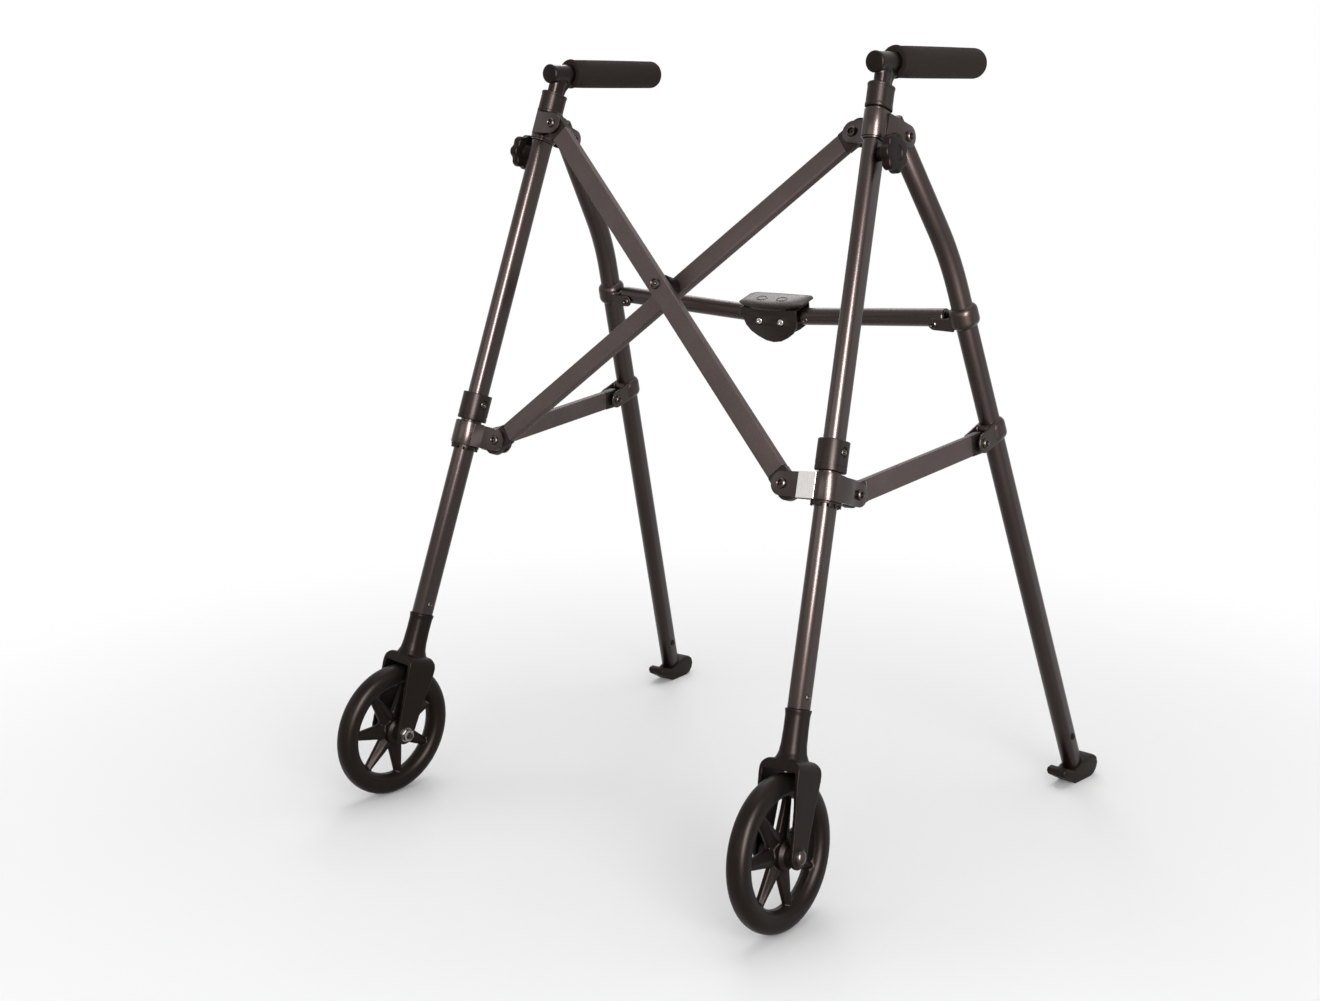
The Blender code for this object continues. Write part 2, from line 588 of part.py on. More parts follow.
def make_wheel(side, leg_body, wheel_body):
    """Forged fork, axle bolt with its acorn nut, spoked rim and tyre."""
    label = SIDE_NAMES[side]
    arm = FORK_GAP / 2 + ARM_T
    inside = FORK_GAP / 2
    low = AXLE_C - ARM_END_R
    arch_corner = 0.010
    outline = [(-arm, low), (-inside, low), (-inside, ARCH_C - arch_corner)]
    for step in range(1, 4):
        turn = math.pi / 2 * step / 4
        outline.append((-inside + arch_corner * (1 - math.cos(turn)), ARCH_C - arch_corner * (1 - math.sin(turn))))
    outline.append((-inside + arch_corner, ARCH_C))
    for x, z in reversed(outline[2:]):
        outline.append((-x, z))
    outline += [(inside, low), (arm, low), (arm, SHOULDER_C - 0.012), (arm - 0.003, SHOULDER_C - 0.004),
                (arm - 0.009, SHOULDER_C + 0.002), (NECK_W / 2, SHOULDER_C + SHOULDER_SLOPE),
                (NECK_W / 2, LEG_END_C - GAP), (-NECK_W / 2, LEG_END_C - GAP),
                (-NECK_W / 2, SHOULDER_C + SHOULDER_SLOPE), (-arm + 0.009, SHOULDER_C + 0.002),
                (-arm + 0.003, SHOULDER_C - 0.004), (-arm, SHOULDER_C - 0.012)]
    fork = node(label + "_wheel_fork", cross_plate(outline, -CROWN_D, CROWN_D), LEG_FRAME, side, leg_body,
                BLACK_PLASTIC)
    flank = []
    for step in range(7):
        turn = math.pi * (1 + step / 6)
        flank.append((ARM_END_R * math.cos(turn), AXLE_C + ARM_END_R * math.sin(turn)))
    flank += [(CROWN_D / 2, SHOULDER_C - 0.018), (CROWN_D / 2, SHOULDER_C - 0.002),
              (NECK_D / 2, SHOULDER_C + SHOULDER_SLOPE), (NECK_D / 2, LEG_END_C - GAP),
              (-NECK_D / 2, LEG_END_C - GAP), (-NECK_D / 2, SHOULDER_C + SHOULDER_SLOPE),
              (-CROWN_D / 2, SHOULDER_C - 0.002), (-CROWN_D / 2, SHOULDER_C - 0.018)]
    combine(fork, plate(flank, -arm - 0.01, arm + 0.01), LEG_FRAME, side, "INTERSECT")
    spigot = bar(oval(LEG_W - 2 * LEG_WALL - 2 * GAP, LEG_D - 2 * LEG_WALL - 2 * GAP),
                 LEG_END_C - 0.01, LEG_END_C + TONGUE_IN_LEG)
    add(fork, spigot, LEG_FRAME, side)
    axle_place = facing(LEG_FRAME @ Vector((0.0, 0.0, AXLE_C)), LEG_OUT, LEG_UP)
    cut(fork, hole(AXLE_R + AXLE_GAP, arm + 0.01), axle_place, side)

    seat = arm + GAP
    axle = turned([(0.0048, -seat - 0.0040), (0.0068, -seat - 0.0030), (0.0068, -seat), (AXLE_R, -seat),
                   (AXLE_R, seat), (0.0068, seat), (0.0068, seat + 0.0045), (0.0055, seat + 0.0050),
                   (0.0050, seat + 0.0080), (0.0028, seat + 0.0104)], SMALL_ROUND)
    node(label + "_axle_bolt", axle, axle_place, side, leg_body, STEEL)

    hub_half = inside - HUB_CLEARANCE
    bore = AXLE_R + AXLE_GAP
    hub = turned([(bore, -hub_half), (HUB_R - 0.004, -hub_half), (HUB_R, -hub_half + 0.008),
                  (HUB_R, hub_half - 0.008), (HUB_R - 0.004, hub_half), (bore, hub_half)], ROUND, wrap=True)
    rim = node(label + "_wheel_rim", hub, axle_place, side, wheel_body, BLACK_PLASTIC)
    half = RIM_W / 2
    ring = turned([(WINDOW_R, -half + 0.003), (WINDOW_R + 0.003, -half), (RIM_R, -half),
                   (RIM_R, half), (WINDOW_R + 0.003, half), (WINDOW_R, half - 0.003)], WHEEL_ROUND, wrap=True)
    for spoke in range(SPOKES):
        blade = loft([level(rounded_box(SPOKE_T, SPOKE_W, 0.003, 1), HUB_R - 0.004),
                      level(rounded_box(SPOKE_T * 0.85, SPOKE_W * 0.82, 0.0025, 1), WINDOW_R + 0.003)])
        lay = Matrix.Rotation(math.tau * spoke / SPOKES, 4, "Z") @ Matrix.Rotation(math.pi / 2, 4, "Y")
        add(rim, blade, axle_place @ lay, side)
    add(rim, ring, axle_place, side)

    half = TYRE_W / 2
    corner = TYRE_CORNER
    profile = [(RIM_R + GAP, -half + 0.003), (RIM_R + 0.004, -half)]
    for low_side in (-1, 1):
        for step in range(3):
            turn = math.pi / 2 * step / 2
            if low_side > 0:
                turn = math.pi / 2 - turn
            reach = WHEEL_R - corner + corner * math.sin(turn)
            profile.append((reach, low_side * (half - corner + corner * math.cos(turn))))
    profile += [(RIM_R + 0.004, half), (RIM_R + GAP, half - 0.003)]
    node(label + "_tyre", turned(profile, WHEEL_ROUND, wrap=True), axle_place, side, wheel_body, DARK_RUBBER)


def make_collar(side, body):
    """Sliding collar of sheet metal with its plastic liner and its two pivot bolts."""
    label = SIDE_NAMES[side]
    low = COLLAR_C - COLLAR_H / 2
    collar = node(label + "_slide_collar", bar(oval(COLLAR_W, COLLAR_D), low, COLLAR_TOP_C), LEG_FRAME, side,
                  body, STEEL)
    pin_place = BRACE_LOW[side] if side == LEFT else mirrored(BRACE_LOW[side])
    half_gap = TONGUE_T / 2 + HINGE_GAP
    brace_eye = eye_frame(pin_place, LEG_BACK, LEG_OUT)
    clevis(collar, side, brace_eye, half_gap, COLLAR_EYE_IN - COLLAR_W / 2 + 0.009, EYE_R + 0.001,
           COLLAR_H - 0.0015)
    bolt_hole(collar, side, brace_eye, half_gap)
    clevis_bolt(label + "_brace_low_bolt", half_gap, brace_eye, side, body)
    strut_eye = eye_frame(STRUT_EYE, SIDE_OUT, -SIDE_BACK)
    clevis(collar, side, strut_eye, half_gap, STRUT_EYE_BACK - COLLAR_D / 2 + 0.005, EYE_R, COLLAR_H - 0.0015)
    bolt_hole(collar, side, strut_eye, half_gap)
    clevis_bolt(label + "_strut_bolt", half_gap, strut_eye, side, body)
    inner_w = COLLAR_W - 2 * COLLAR_WALL
    inner_d = COLLAR_D - 2 * COLLAR_WALL
    cut(collar, bar(oval(inner_w, inner_d), low - 0.01, COLLAR_TOP_C + 0.01), LEG_FRAME, side)

    hole_w = LEG_W + 2 * LINER_SIDE_GAP
    hole_d = LEG_D + 2 * LINER_FACE_GAP
    outer = oval(inner_w - 2 * GAP, inner_d - 2 * GAP)
    skirt = oval(inner_w + 2 * LIP_OUT, inner_d + 2 * LIP_OUT)
    lip_top = low - GAP
    liner = node(label + "_collar_liner",
                 loft([level(skirt, lip_top - LIP_H), level(skirt, lip_top), level(outer, lip_top),
                       level(outer, COLLAR_TOP_C)]), LEG_FRAME, side, body, BLACK_PLASTIC)
    slot = rounded_box(hole_w, hole_d, LEG_W / 2 + LINER_FACE_GAP, 4)
    cut(liner, bar(slot, lip_top - LIP_H - 0.01, COLLAR_TOP_C + 0.01), LEG_FRAME, side)
    for y in (-0.009, 0.0, 0.009):
        notch = cross_plate([(-0.03, lip_top - LIP_H - 0.01), (0.03, lip_top - LIP_H - 0.01),
                             (0.03, lip_top - LIP_H + 0.003), (-0.03, lip_top - LIP_H + 0.003)],
                            y - LIP_NOTCH / 2, y + LIP_NOTCH / 2)
        cut(liner, notch, LEG_FRAME, side)


def make_flat_link(name, start, end, across, body, side):
    """Flat box tube between two pins, with a black plug at each end."""
    along = (end - start).normalized()
    y = (across - across.dot(along) * along).normalized()
    place = frame(start, y.cross(along), y, along)
    length = (end - start).length
    outer = rounded_box(BAR_W, BAR_T, BAR_CORNER)
    inner = rounded_box(BAR_W - 2 * BAR_WALL, BAR_T - 2 * BAR_WALL, BAR_CORNER - BAR_WALL)
    tube = node(name, pipe(outer, inner, BAR_END, length - BAR_END), place, side, body, PAINT)

    root = BAR_END - GAP
    eye_outline = strap((0.0, root), (0.0, 0.0), BAR_W, EYE_R)
    spigot_outline = rounded_box(BAR_W - 2 * BAR_WALL - 2 * GAP, BAR_T - 2 * BAR_WALL - 2 * GAP,
                                 BAR_CORNER - BAR_WALL)
    far = frame(end, -place.col[0].xyz, y, -along)
    for label, lay in (("upper", place), ("lower", far)):
        plug = node(f"{name}_{label}_plug", cross_plate(eye_outline, -TONGUE_T / 2, TONGUE_T / 2), lay, side,
                    body, BLACK_PLASTIC)
        add(plug, bar(spigot_outline, root - GAP, root + PLUG_DEPTH), lay, side)
        cut(plug, hole(PIN_R + PIN_GAP, TONGUE_T), lay @ Matrix.Rotation(math.pi / 2, 4, "X"), side)
    return tube


def make_brace(front_body, rear_body):
    """The two crossing bars, their spacer and the rivet at the middle."""
    front_top, front_low = BRACE_TOP[RIGHT], BRACE_LOW[LEFT]
    rear_top, rear_low = BRACE_TOP[LEFT], BRACE_LOW[RIGHT]
    share = rear_top.x / (rear_top.x - rear_low.x)
    rear_mid = rear_top.lerp(rear_low, share)
    share = front_top.x / (front_top.x - front_low.x)
    front_mid = front_top.lerp(front_low, share)
    front = make_flat_link("front_brace", front_top, front_low, LEG_BACK, front_body, LEFT)
    rear = make_flat_link("rear_brace", rear_top, rear_low, LEG_BACK, rear_body, LEFT)
    middle = front_mid.lerp(rear_mid, 0.5)
    front_off = (front_mid - middle).dot(FORWARD)
    rear_off = (rear_mid - middle).dot(FORWARD)
    place = facing(middle, FORWARD, UP_PLANE)
    for tube in (front, rear):
        cut(tube, hole(BRACE_PIN_R + PIN_GAP, 0.05), place, LEFT)
    skew = math.atan2(FRONT_BAR_TOP - FRONT_BAR_LOW, (front_low - front_top).length)
    half = BAR_T / 2 + GAP + SPACER_R * math.sin(skew)
    rivet = turned([(BRACE_HEAD_R * 0.62, rear_off - half - BRACE_HEAD_H), (BRACE_HEAD_R, rear_off - half - 0.001),
                    (BRACE_HEAD_R, rear_off - half), (BRACE_PIN_R, rear_off - half),
                    (BRACE_PIN_R, rear_off + half), (SPACER_R, rear_off + half),
                    (SPACER_R, front_off - half), (BRACE_PIN_R, front_off - half),
                    (BRACE_PIN_R, front_off + half), (BRACE_HEAD_R, front_off + half),
                    (BRACE_HEAD_R, front_off + half + 0.001),
                    (BRACE_HEAD_R * 0.62, front_off + half + BRACE_HEAD_H)], SMALL_ROUND)
    node("brace_rivet", rivet, place, LEFT, rear_body, BLACK_PLASTIC)


def rear_path():
    """Stations of the rear leg from top to bottom: place, direction and forward normal."""
    turn_total = REAR_UPPER_ANGLE - REAR_LOWER_ANGLE
    tangent = REAR_BEND_R * math.tan(turn_total / 2)
    stations = [(REAR_EYE - REAR_ABOVE_EYE * UPPER_RUN, REAR_UPPER_ANGLE)]
    start = CORNER - tangent * UPPER_RUN
    centre_dir = -math.cos(REAR_UPPER_ANGLE) * SIDE_BACK - math.sin(REAR_UPPER_ANGLE) * LEG_UP
    centre = start + REAR_BEND_R * centre_dir
    steps = 4
    for step in range(steps + 1):
        angle = REAR_UPPER_ANGLE - turn_total * step / steps
        outward = math.cos(angle) * SIDE_BACK + math.sin(angle) * LEG_UP
        stations.append((centre + REAR_BEND_R * outward, angle))
    stations.append((REAR_END, REAR_LOWER_ANGLE))
    return stations


def rear_frame(point, angle):
    """Frame on the rear leg: x out, y back across the tube, z up along it."""
    up = -math.sin(angle) * SIDE_BACK + math.cos(angle) * LEG_UP
    return frame(point, SIDE_OUT, up.cross(SIDE_OUT), up)


def make_rear_leg(side, body):
    """Bent oval tube with the rings of the crossbar and the strut, and its foot."""
    label = SIDE_NAMES[side]
    outer = oval(REAR_W, REAR_D)
    inner = oval(REAR_W - 2 * REAR_WALL, REAR_D - 2 * REAR_WALL)
    home = rear_frame(REAR_EYE, REAR_UPPER_ANGLE)
    stations = [home.inverted() @ rear_frame(point, angle) for point, angle in rear_path()]
    outer_loops = [[station @ Vector((x, y, 0.0)) for x, y in outer] for station in stations]
    inner_loops = [[station @ Vector((x, y, 0.0)) for x, y in inner] for station in reversed(stations)]
    leg = node(label + "_rear_leg", loft(outer_loops + inner_loops, wrap=True), home, side, body, PAINT)
    across = eye_frame(REAR_EYE, SIDE_OUT, -SIDE_BACK)
    cut(leg, hole(PIN_R + PIN_GAP, REAR_W), across, side)

    seat = oval(REAR_W + 2 * GAP, REAR_D + 2 * GAP)
    band = oval(REAR_W + 2 * GAP + 2 * RING_WALL, REAR_D + 2 * GAP + 2 * RING_WALL)
    ring_place = rear_frame(CROSS_RING, REAR_LOWER_ANGLE)
    ring = node(label + "_crossbar_ring", bar(band, -RING_H / 2, RING_H / 2), ring_place, side, body, STEEL)
    cross_eye = eye_frame(CROSS_EYE, CROSS_BACK, X)
    half_gap = TONGUE_T / 2 + HINGE_GAP
    clevis(ring, side, cross_eye, half_gap, CROSS_EYE_IN - REAR_W / 2 + 0.003, EYE_R - 0.0015, RING_H)
    seat_of_head = half_gap + EAR_T - HEAD_SINK
    add(ring, pin(PIN_R, HEAD_R, HEAD_H + HEAD_SINK, -seat_of_head, seat_of_head), cross_eye, side)
    cut(ring, bar(seat, -RING_H, RING_H), ring_place, side)

    strut_place = rear_frame(CORNER + STRUT_RING_RUN * LOWER_RUN, REAR_LOWER_ANGLE)
    strut_ring = node(label + "_strut_ring", bar(band, -RING_H / 2, RING_H / 2), strut_place, side, body, STEEL)
    strut_eye = eye_frame(STRUT_FAR_EYE, SIDE_OUT, -LOWER_FRONT)
    ear_gap = TONGUE_T / 2 + STRUT_EAR_GAP
    clevis(strut_ring, side, strut_eye, ear_gap, STRUT_EYE_FRONT - REAR_D / 2 + 0.004, EYE_R - 0.0025, RING_H)
    face = ear_gap + EAR_T
    for flip in (Matrix.Identity(4), Matrix.Rotation(math.pi, 4, "X")):
        head = bar(circle(HEAD_R, SMALL_ROUND), face - HEAD_SINK, face + HEAD_H)
        add(strut_ring, head, strut_eye @ flip, side)
    cut(strut_ring, bar(seat, -RING_H, RING_H), strut_place, side)

    back = Vector((SIDE_BACK.x, SIDE_BACK.y, 0.0)).normalized()
    up = Vector((0.0, 0.0, 1.0))
    ground = frame(Vector((REAR_END.x, REAR_END.y, 0.0)), back.cross(up), back, up)
    foot = node(label + "_rear_foot", plate(FOOT_SOLE, -FOOT_W / 2, FOOT_W / 2), ground, side, body,
                BLACK_PLASTIC)
    socket = rear_frame(REAR_END, REAR_LOWER_ANGLE)
    cut(foot, bar(seat, -GAP, SPIGOT_UP), socket, side)
    spigot = oval(REAR_W - 2 * REAR_WALL - 2 * GAP, REAR_D - 2 * REAR_WALL - 2 * GAP)
    add(foot, bar(spigot, -0.002, SPIGOT_UP), socket, side)


def make_crossbar(side, body):
    """Half of the rear crossbar: a round tube with an eye at its outer end and a thin tongue inside."""
    along = (BLOCK_EYE - CROSS_EYE).normalized()
    place = frame(CROSS_EYE, CROSS_BACK.cross(along), CROSS_BACK, along)
    length = (BLOCK_EYE - CROSS_EYE).length
    inner_end = length - (CROSS_INNER_END - BLOCK_PIN) / abs(along.x)
    lift = Matrix.Translation((CROSS_LIFT, 0.0, 0.0))
    tube = moved(loft([level(circle(CROSS_R), CROSS_OUTER_END), level(circle(CROSS_R), inner_end - CROSS_CHAMFER),
                       level(circle(CROSS_R - CROSS_CHAMFER), inner_end)]), lift)
    half = node(SIDE_NAMES[side] + "_crossbar_half", tube, place, side, body, PAINT)
    bore = moved(bar(circle(CROSS_R - CROSS_WALL), CROSS_OUTER_END + CROSS_PLUG, inner_end - CROSS_PLUG), lift)
    cut(half, bore, place, side)
    across = Matrix.Rotation(math.pi / 2, 4, "X")
    vent = Matrix.Translation((CROSS_LIFT, 0.0, inner_end - CROSS_PLUG - 0.006)) @ across
    cut(half, hole(VENT_R, 2 * CROSS_R), place @ vent, side)

    eye_r = EYE_R - 0.0025
    outline = [(CROSS_LIFT + CROSS_R * 0.9, CROSS_OUTER_END + 0.001), (CROSS_LIFT - CROSS_R * 0.9,
                                                                        CROSS_OUTER_END + 0.001)]
    outline += [(-eye_r * math.cos(turn), -eye_r * math.sin(turn))
                for turn in (math.pi * step / 6 for step in range(7))]
    add(half, cross_plate(outline, -TONGUE_T / 2, TONGUE_T / 2), place, side)
    cut(half, hole(PIN_R + PIN_GAP, TONGUE_T), place @ across, side)

    low, high = (2 * GAP, 2 * GAP + HALF_TONGUE_T) if side == LEFT else (-2 * GAP - HALF_TONGUE_T, -2 * GAP)
    tip = length if side == LEFT else length - RIGHT_TONGUE_SHORT
    root = inner_end - CROSS_PLUG / 2
    tongue_half = CROSS_R * 0.62
    outline = [(CROSS_LIFT - tongue_half, root), (CROSS_LIFT + tongue_half, root)]
    outline += [(TIP_R * math.cos(turn), tip + TIP_R * math.sin(turn))
                for turn in (math.pi * step / 6 for step in range(7))]
    add(half, cross_plate(outline, low, high), place, side)
    if side == LEFT:
        cut(half, hole(PIN_R + PIN_GAP, TONGUE_T), place @ Matrix.Translation((0.0, 0.0, length)) @ across, side)


def make_block(body):
    """Hollow block over the middle of the crossbar, open below and at its two ends."""
    place = frame(Vector((0.0, BLOCK_EYE.y, BLOCK_EYE.z)), X, CROSS_BACK, CROSS_UP)
    cavity = CROSS_R + BLOCK_SIDE_GAP
    half_y = cavity + BLOCK_WALL
    cheek = BLOCK_CHEEK + [(-x, z) for x, z in reversed(BLOCK_CHEEK[:-1])]
    block = node("center_block", cross_plate(cheek, -half_y, half_y), place, LEFT, body, BLACK_PLASTIC)
    plan = BLOCK_PLAN + [(-x, y) for x, y in reversed(BLOCK_PLAN[1:-1])]
    under = [(x * BLOCK_UNDERCUT, y * BLOCK_UNDERCUT) for x, y in plan]
    crown = [(x * 0.95, y * 0.93) for x, y in plan]
    rim_low = BLOCK_EDGE - 0.0025
    roof = loft([level(under, BLOCK_ROOF_LOW), level(plan, rim_low), level(plan, BLOCK_EDGE),
                 level(crown, BLOCK_TOP)])
    add(block, roof, place, LEFT)
    hollow = cross_plate([(-0.08, -0.05), (0.08, -0.05), (0.08, BLOCK_ROOF_LOW - 0.0005),
                          (-0.08, BLOCK_ROOF_LOW - 0.0005)], -cavity, cavity)
    cut(block, hollow, place, LEFT)
    across = Matrix.Rotation(math.pi / 2, 4, "X")
    for x in (-BLOCK_PIN, BLOCK_PIN):
        for face in (-1, 1):
            spot = Matrix.Translation((x, face * half_y, 0.0)) @ across
            add(block, bar(circle(HEAD_R, SMALL_ROUND), -HEAD_H, HEAD_H), place @ spot, LEFT)
    stub = Matrix.Translation((BLOCK_PIN, 0.0, 0.0)) @ Matrix.Rotation(-math.pi / 2, 4, "X")
    add(block, bar(circle(PIN_R, SMALL_ROUND), 2 * GAP, half_y - 0.001), place @ stub, LEFT)


def build():
    for old in list(bpy.data.objects):
        bpy.data.objects.remove(old, do_unlink=True)
    root = pivot("frame_root", Vector((0.0, 0.0, 0.0)))
    front_body = pivot("front_bar_pivot", BRACE_TOP[RIGHT])
    rear_body = pivot("rear_bar_pivot", BRACE_TOP[LEFT])
    make_brace(front_body, rear_body)
    for side in (LEFT, RIGHT):
        label = SIDE_NAMES[side]
        place = {LEFT: lambda point: point, RIGHT: mirrored}[side]
        leg_body = root if side == LEFT else pivot("right_leg_pivot", BRACE_TOP[RIGHT])
        handle_body = pivot(label + "_handle_slide", place(LEG_FRAME @ Vector((0.0, 0.0, HANDLE_C))))
        knob_body = pivot(label + "_knob_pivot", place(LEG_FRAME @ Vector((0.0, 0.0, KNOB_C))))
        wheel_body = pivot(label + "_wheel_pivot", place(LEG_FRAME @ Vector((0.0, 0.0, AXLE_C))))
        collar_body = pivot(label + "_collar_pivot", BRACE_LOW[side])
        rear_leg_body = pivot(label + "_rear_leg_pivot", place(REAR_EYE))
        strut_body = pivot(label + "_strut_pivot", place(STRUT_EYE))
        cross_body = pivot(label + "_crossbar_pivot", place(CROSS_EYE))
        make_front_leg(side, leg_body)
        make_bracket(side, leg_body)
        make_handle(side, leg_body, handle_body, knob_body)
        make_wheel(side, leg_body, wheel_body)
        make_collar(side, collar_body)
        make_rear_leg(side, rear_leg_body)
        make_flat_link(label + "_strut", STRUT_EYE, STRUT_FAR_EYE, SIDE_OUT, strut_body, side)
        make_crossbar(side, cross_body)
    block_body = pivot("block_pivot", BLOCK_EYE)
    make_block(block_body)


build()
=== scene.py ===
import math

import bmesh
import bpy
from mathutils import Matrix, Vector


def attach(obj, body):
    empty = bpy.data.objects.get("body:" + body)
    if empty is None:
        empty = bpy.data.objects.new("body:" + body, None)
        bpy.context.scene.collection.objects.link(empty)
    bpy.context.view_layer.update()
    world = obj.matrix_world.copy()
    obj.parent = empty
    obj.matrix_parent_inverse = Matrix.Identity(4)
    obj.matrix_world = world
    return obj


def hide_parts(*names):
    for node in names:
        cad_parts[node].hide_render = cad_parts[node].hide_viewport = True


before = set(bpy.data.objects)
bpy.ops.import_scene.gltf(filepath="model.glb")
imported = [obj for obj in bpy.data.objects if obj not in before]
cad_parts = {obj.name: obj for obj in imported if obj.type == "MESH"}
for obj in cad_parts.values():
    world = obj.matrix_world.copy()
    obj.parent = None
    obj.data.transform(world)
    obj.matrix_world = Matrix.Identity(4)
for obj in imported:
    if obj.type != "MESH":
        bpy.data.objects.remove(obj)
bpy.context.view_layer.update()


# Studio: a pale floor that runs out into a white surround, a key lamp at the right of the camera,
# a front lamp, fainter ones left, above and behind, and a tall strip that shines only in reflections.
class Wire:
    """A socket of a material. Arithmetic on it adds Math nodes, and node() adds any other node."""

    def __init__(self, tree, socket=None):
        self.tree = tree
        self.socket = socket

    def node(self, kind, settings, sockets, out=0):
        made = self.tree.nodes.new("ShaderNode" + kind)
        for name, value in settings.items():
            setattr(made, name, value)
        for name, value in sockets.items():
            if isinstance(value, Wire):
                self.tree.links.new(value.socket, made.inputs[name])
            else:
                made.inputs[name].default_value = value
        return Wire(self.tree, made.outputs[out])

    def feed(self, node, name):
        self.tree.links.new(self.socket, node.inputs[name])

    def maths(self, operation, first, second):
        return self.node("Math", {"operation": operation}, {0: first, 1: second})

    def __add__(self, other):
        return self.maths("ADD", self, other)

    def __radd__(self, other):
        return self.maths("ADD", other, self)

    def __sub__(self, other):
        return self.maths("SUBTRACT", self, other)

    def __rsub__(self, other):
        return self.maths("SUBTRACT", other, self)

    def __mul__(self, other):
        return self.maths("MULTIPLY", self, other)

    def __rmul__(self, other):
        return self.maths("MULTIPLY", other, self)


def seen_directly(wire):
    """1 for rays from the camera, a mirror or clear glass, 0 for the light on the object."""
    kinds = ("Camera", "Glossy", "Transmission")
    camera_ray, mirror_ray, clear_ray = (wire.node("LightPath", {}, {}, f"Is {kind} Ray") for kind in kinds)
    return wire.maths("MAXIMUM", wire.maths("MAXIMUM", camera_ray, mirror_ray), clear_ray)


WHITE = (1.0, 1.0, 1.0, 1.0)
FLOOR_COLOUR = (0.88, 0.88, 0.88, 1.0)
FLOOR_ROUGHNESS = 0.9
FLOOR_REACH = 9.0
FADE_START = 0.25
FADE_END = 1.3

bpy.ops.object.select_all(action="DESELECT")
bpy.ops.mesh.primitive_circle_add(vertices=96, radius=FLOOR_REACH, fill_type="NGON")
floor = bpy.context.object
floor.name = "floor"
floor_finish = bpy.data.materials.new("pale_floor")
floor_finish.use_nodes = True
floor_tree = floor_finish.node_tree
floor_shader = floor_tree.nodes["Principled BSDF"]
floor_shader.inputs["Base Color"].default_value = FLOOR_COLOUR
floor_shader.inputs["Roughness"].default_value = FLOOR_ROUGHNESS
start = Wire(floor_tree)
spot = start.node("TexCoord", {}, {}, "Object")
reach = start.node("VectorMath", {"operation": "LENGTH"}, {0: spot}, "Value")
fade = start.node("MapRange", {"interpolation_type": "SMOOTHSTEP"},
                  {"Value": reach, "From Min": FADE_START, "From Max": FADE_END})
glow = start.node("Emission", {}, {"Color": WHITE, "Strength": 1.0})
blended = start.node("MixShader", {}, {0: fade * seen_directly(start),
                                       1: Wire(floor_tree, floor_shader.outputs[0]), 2: glow})
blended.feed(floor_tree.nodes["Material Output"], "Surface")
floor.data.materials.append(floor_finish)

AMBIENT = 0.44
world = bpy.data.worlds.new("studio")
bpy.context.scene.world = world
world.use_nodes = True
sky = Wire(world.node_tree)
background = world.node_tree.nodes["Background"]
background.inputs["Color"].default_value = WHITE
(AMBIENT + (1.0 - AMBIENT) * seen_directly(sky)).feed(background, "Strength")


def softbox(name, place, aim, width, height, power, lights=True):
    """A rectangular soft lamp that faces a point, or one that only shines in reflections."""
    lamp = bpy.data.lights.new(name, "AREA")
    lamp.shape = "RECTANGLE"
    lamp.size = width
    lamp.size_y = height
    lamp.energy = power
    holder = bpy.data.objects.new(name, lamp)
    bpy.context.scene.collection.objects.link(holder)
    holder.location = place
    holder.rotation_euler = (Vector(aim) - Vector(place)).to_track_quat("-Z", "Y").to_euler()
    holder.visible_camera = False
    holder.visible_diffuse = lights


softbox("strip_softbox", (2.16, -0.94, 1.12), (0.0, -0.15, 1.12), 0.80, 1.84, 235.0, False)
softbox("key_softbox", (2.02, -1.38, 1.15), (0.0, -0.15, 0.60), 1.1, 1.5, 20.0)
softbox("front_softbox", (0.35, -2.75, 1.35), (0.0, -0.1, 0.45), 2.1, 1.5, 19.0)
softbox("left_softbox", (-2.3, -1.9, 1.5), (0.0, 0.0, 0.45), 1.2, 1.4, 4.0)
softbox("top_softbox", (-0.2, 0.5, 2.8), (0.0, 0.0, 0.3), 1.8, 1.8, 24.0)
softbox("back_softbox", (-1.53, 1.61, 2.01), (0.0, 0.1, 0.5), 0.9, 0.6, 8.0)

CAMERA_PLACE = (1.16446, -1.47832, 0.73345)
CAMERA_TURN = math.radians(40.338)
CAMERA_DIP = math.radians(11.608)
CAMERA_ROLL = math.radians(-0.194)
CAMERA_LENS = 46.816
CAMERA_SENSOR = 36.0
CAMERA_SHIFT = (0.00439, -0.00530)

camera_data = bpy.data.cameras.new("photo_camera")
camera_data.lens = CAMERA_LENS
camera_data.sensor_width = CAMERA_SENSOR
camera_data.shift_x, camera_data.shift_y = CAMERA_SHIFT
camera = bpy.data.objects.new("photo_camera", camera_data)
bpy.context.scene.collection.objects.link(camera)
camera.matrix_world = (Matrix.Translation(CAMERA_PLACE) @ Matrix.Rotation(CAMERA_TURN, 4, "Z")
                       @ Matrix.Rotation(math.pi / 2 - CAMERA_DIP, 4, "X")
                       @ Matrix.Rotation(CAMERA_ROLL, 4, "Z"))
bpy.context.scene.camera = camera
bpy.context.scene.view_settings.view_transform = "Standard"


# Front legs: drawn oval tubes of aluminium in a baked metallic paint, 17 by 26.5 mm.
# Each stands on the fork's neck, held by a dark screw in each flat, and leans back with its wheel.
LEAN = math.radians(17.8)
SPLAY = math.radians(4.1)
TOE = math.radians(4.3)
TRACK = 0.558
PLANE_Y = -0.27295
LEG_W = 0.017
LEG_D = 0.0265
LEG_LOW = 0.21682
LEG_TOP = 0.80632
WALL = 0.0015
FIT = 0.0003
SCREW_R = 0.0036
SCREW_SUNK = 0.0006
FORK_SCREW_C = 0.2285
FORK_SCREW_Y = 0.0005
FORK_SCREW_H = 0.0011
FLANKS = (("outer", 1.0), ("inner", -1.0))
SQUARE = 0.9
SAME = 0.00003
CUT_ANGLE = 50.0
CAST_ANGLE = 60.0

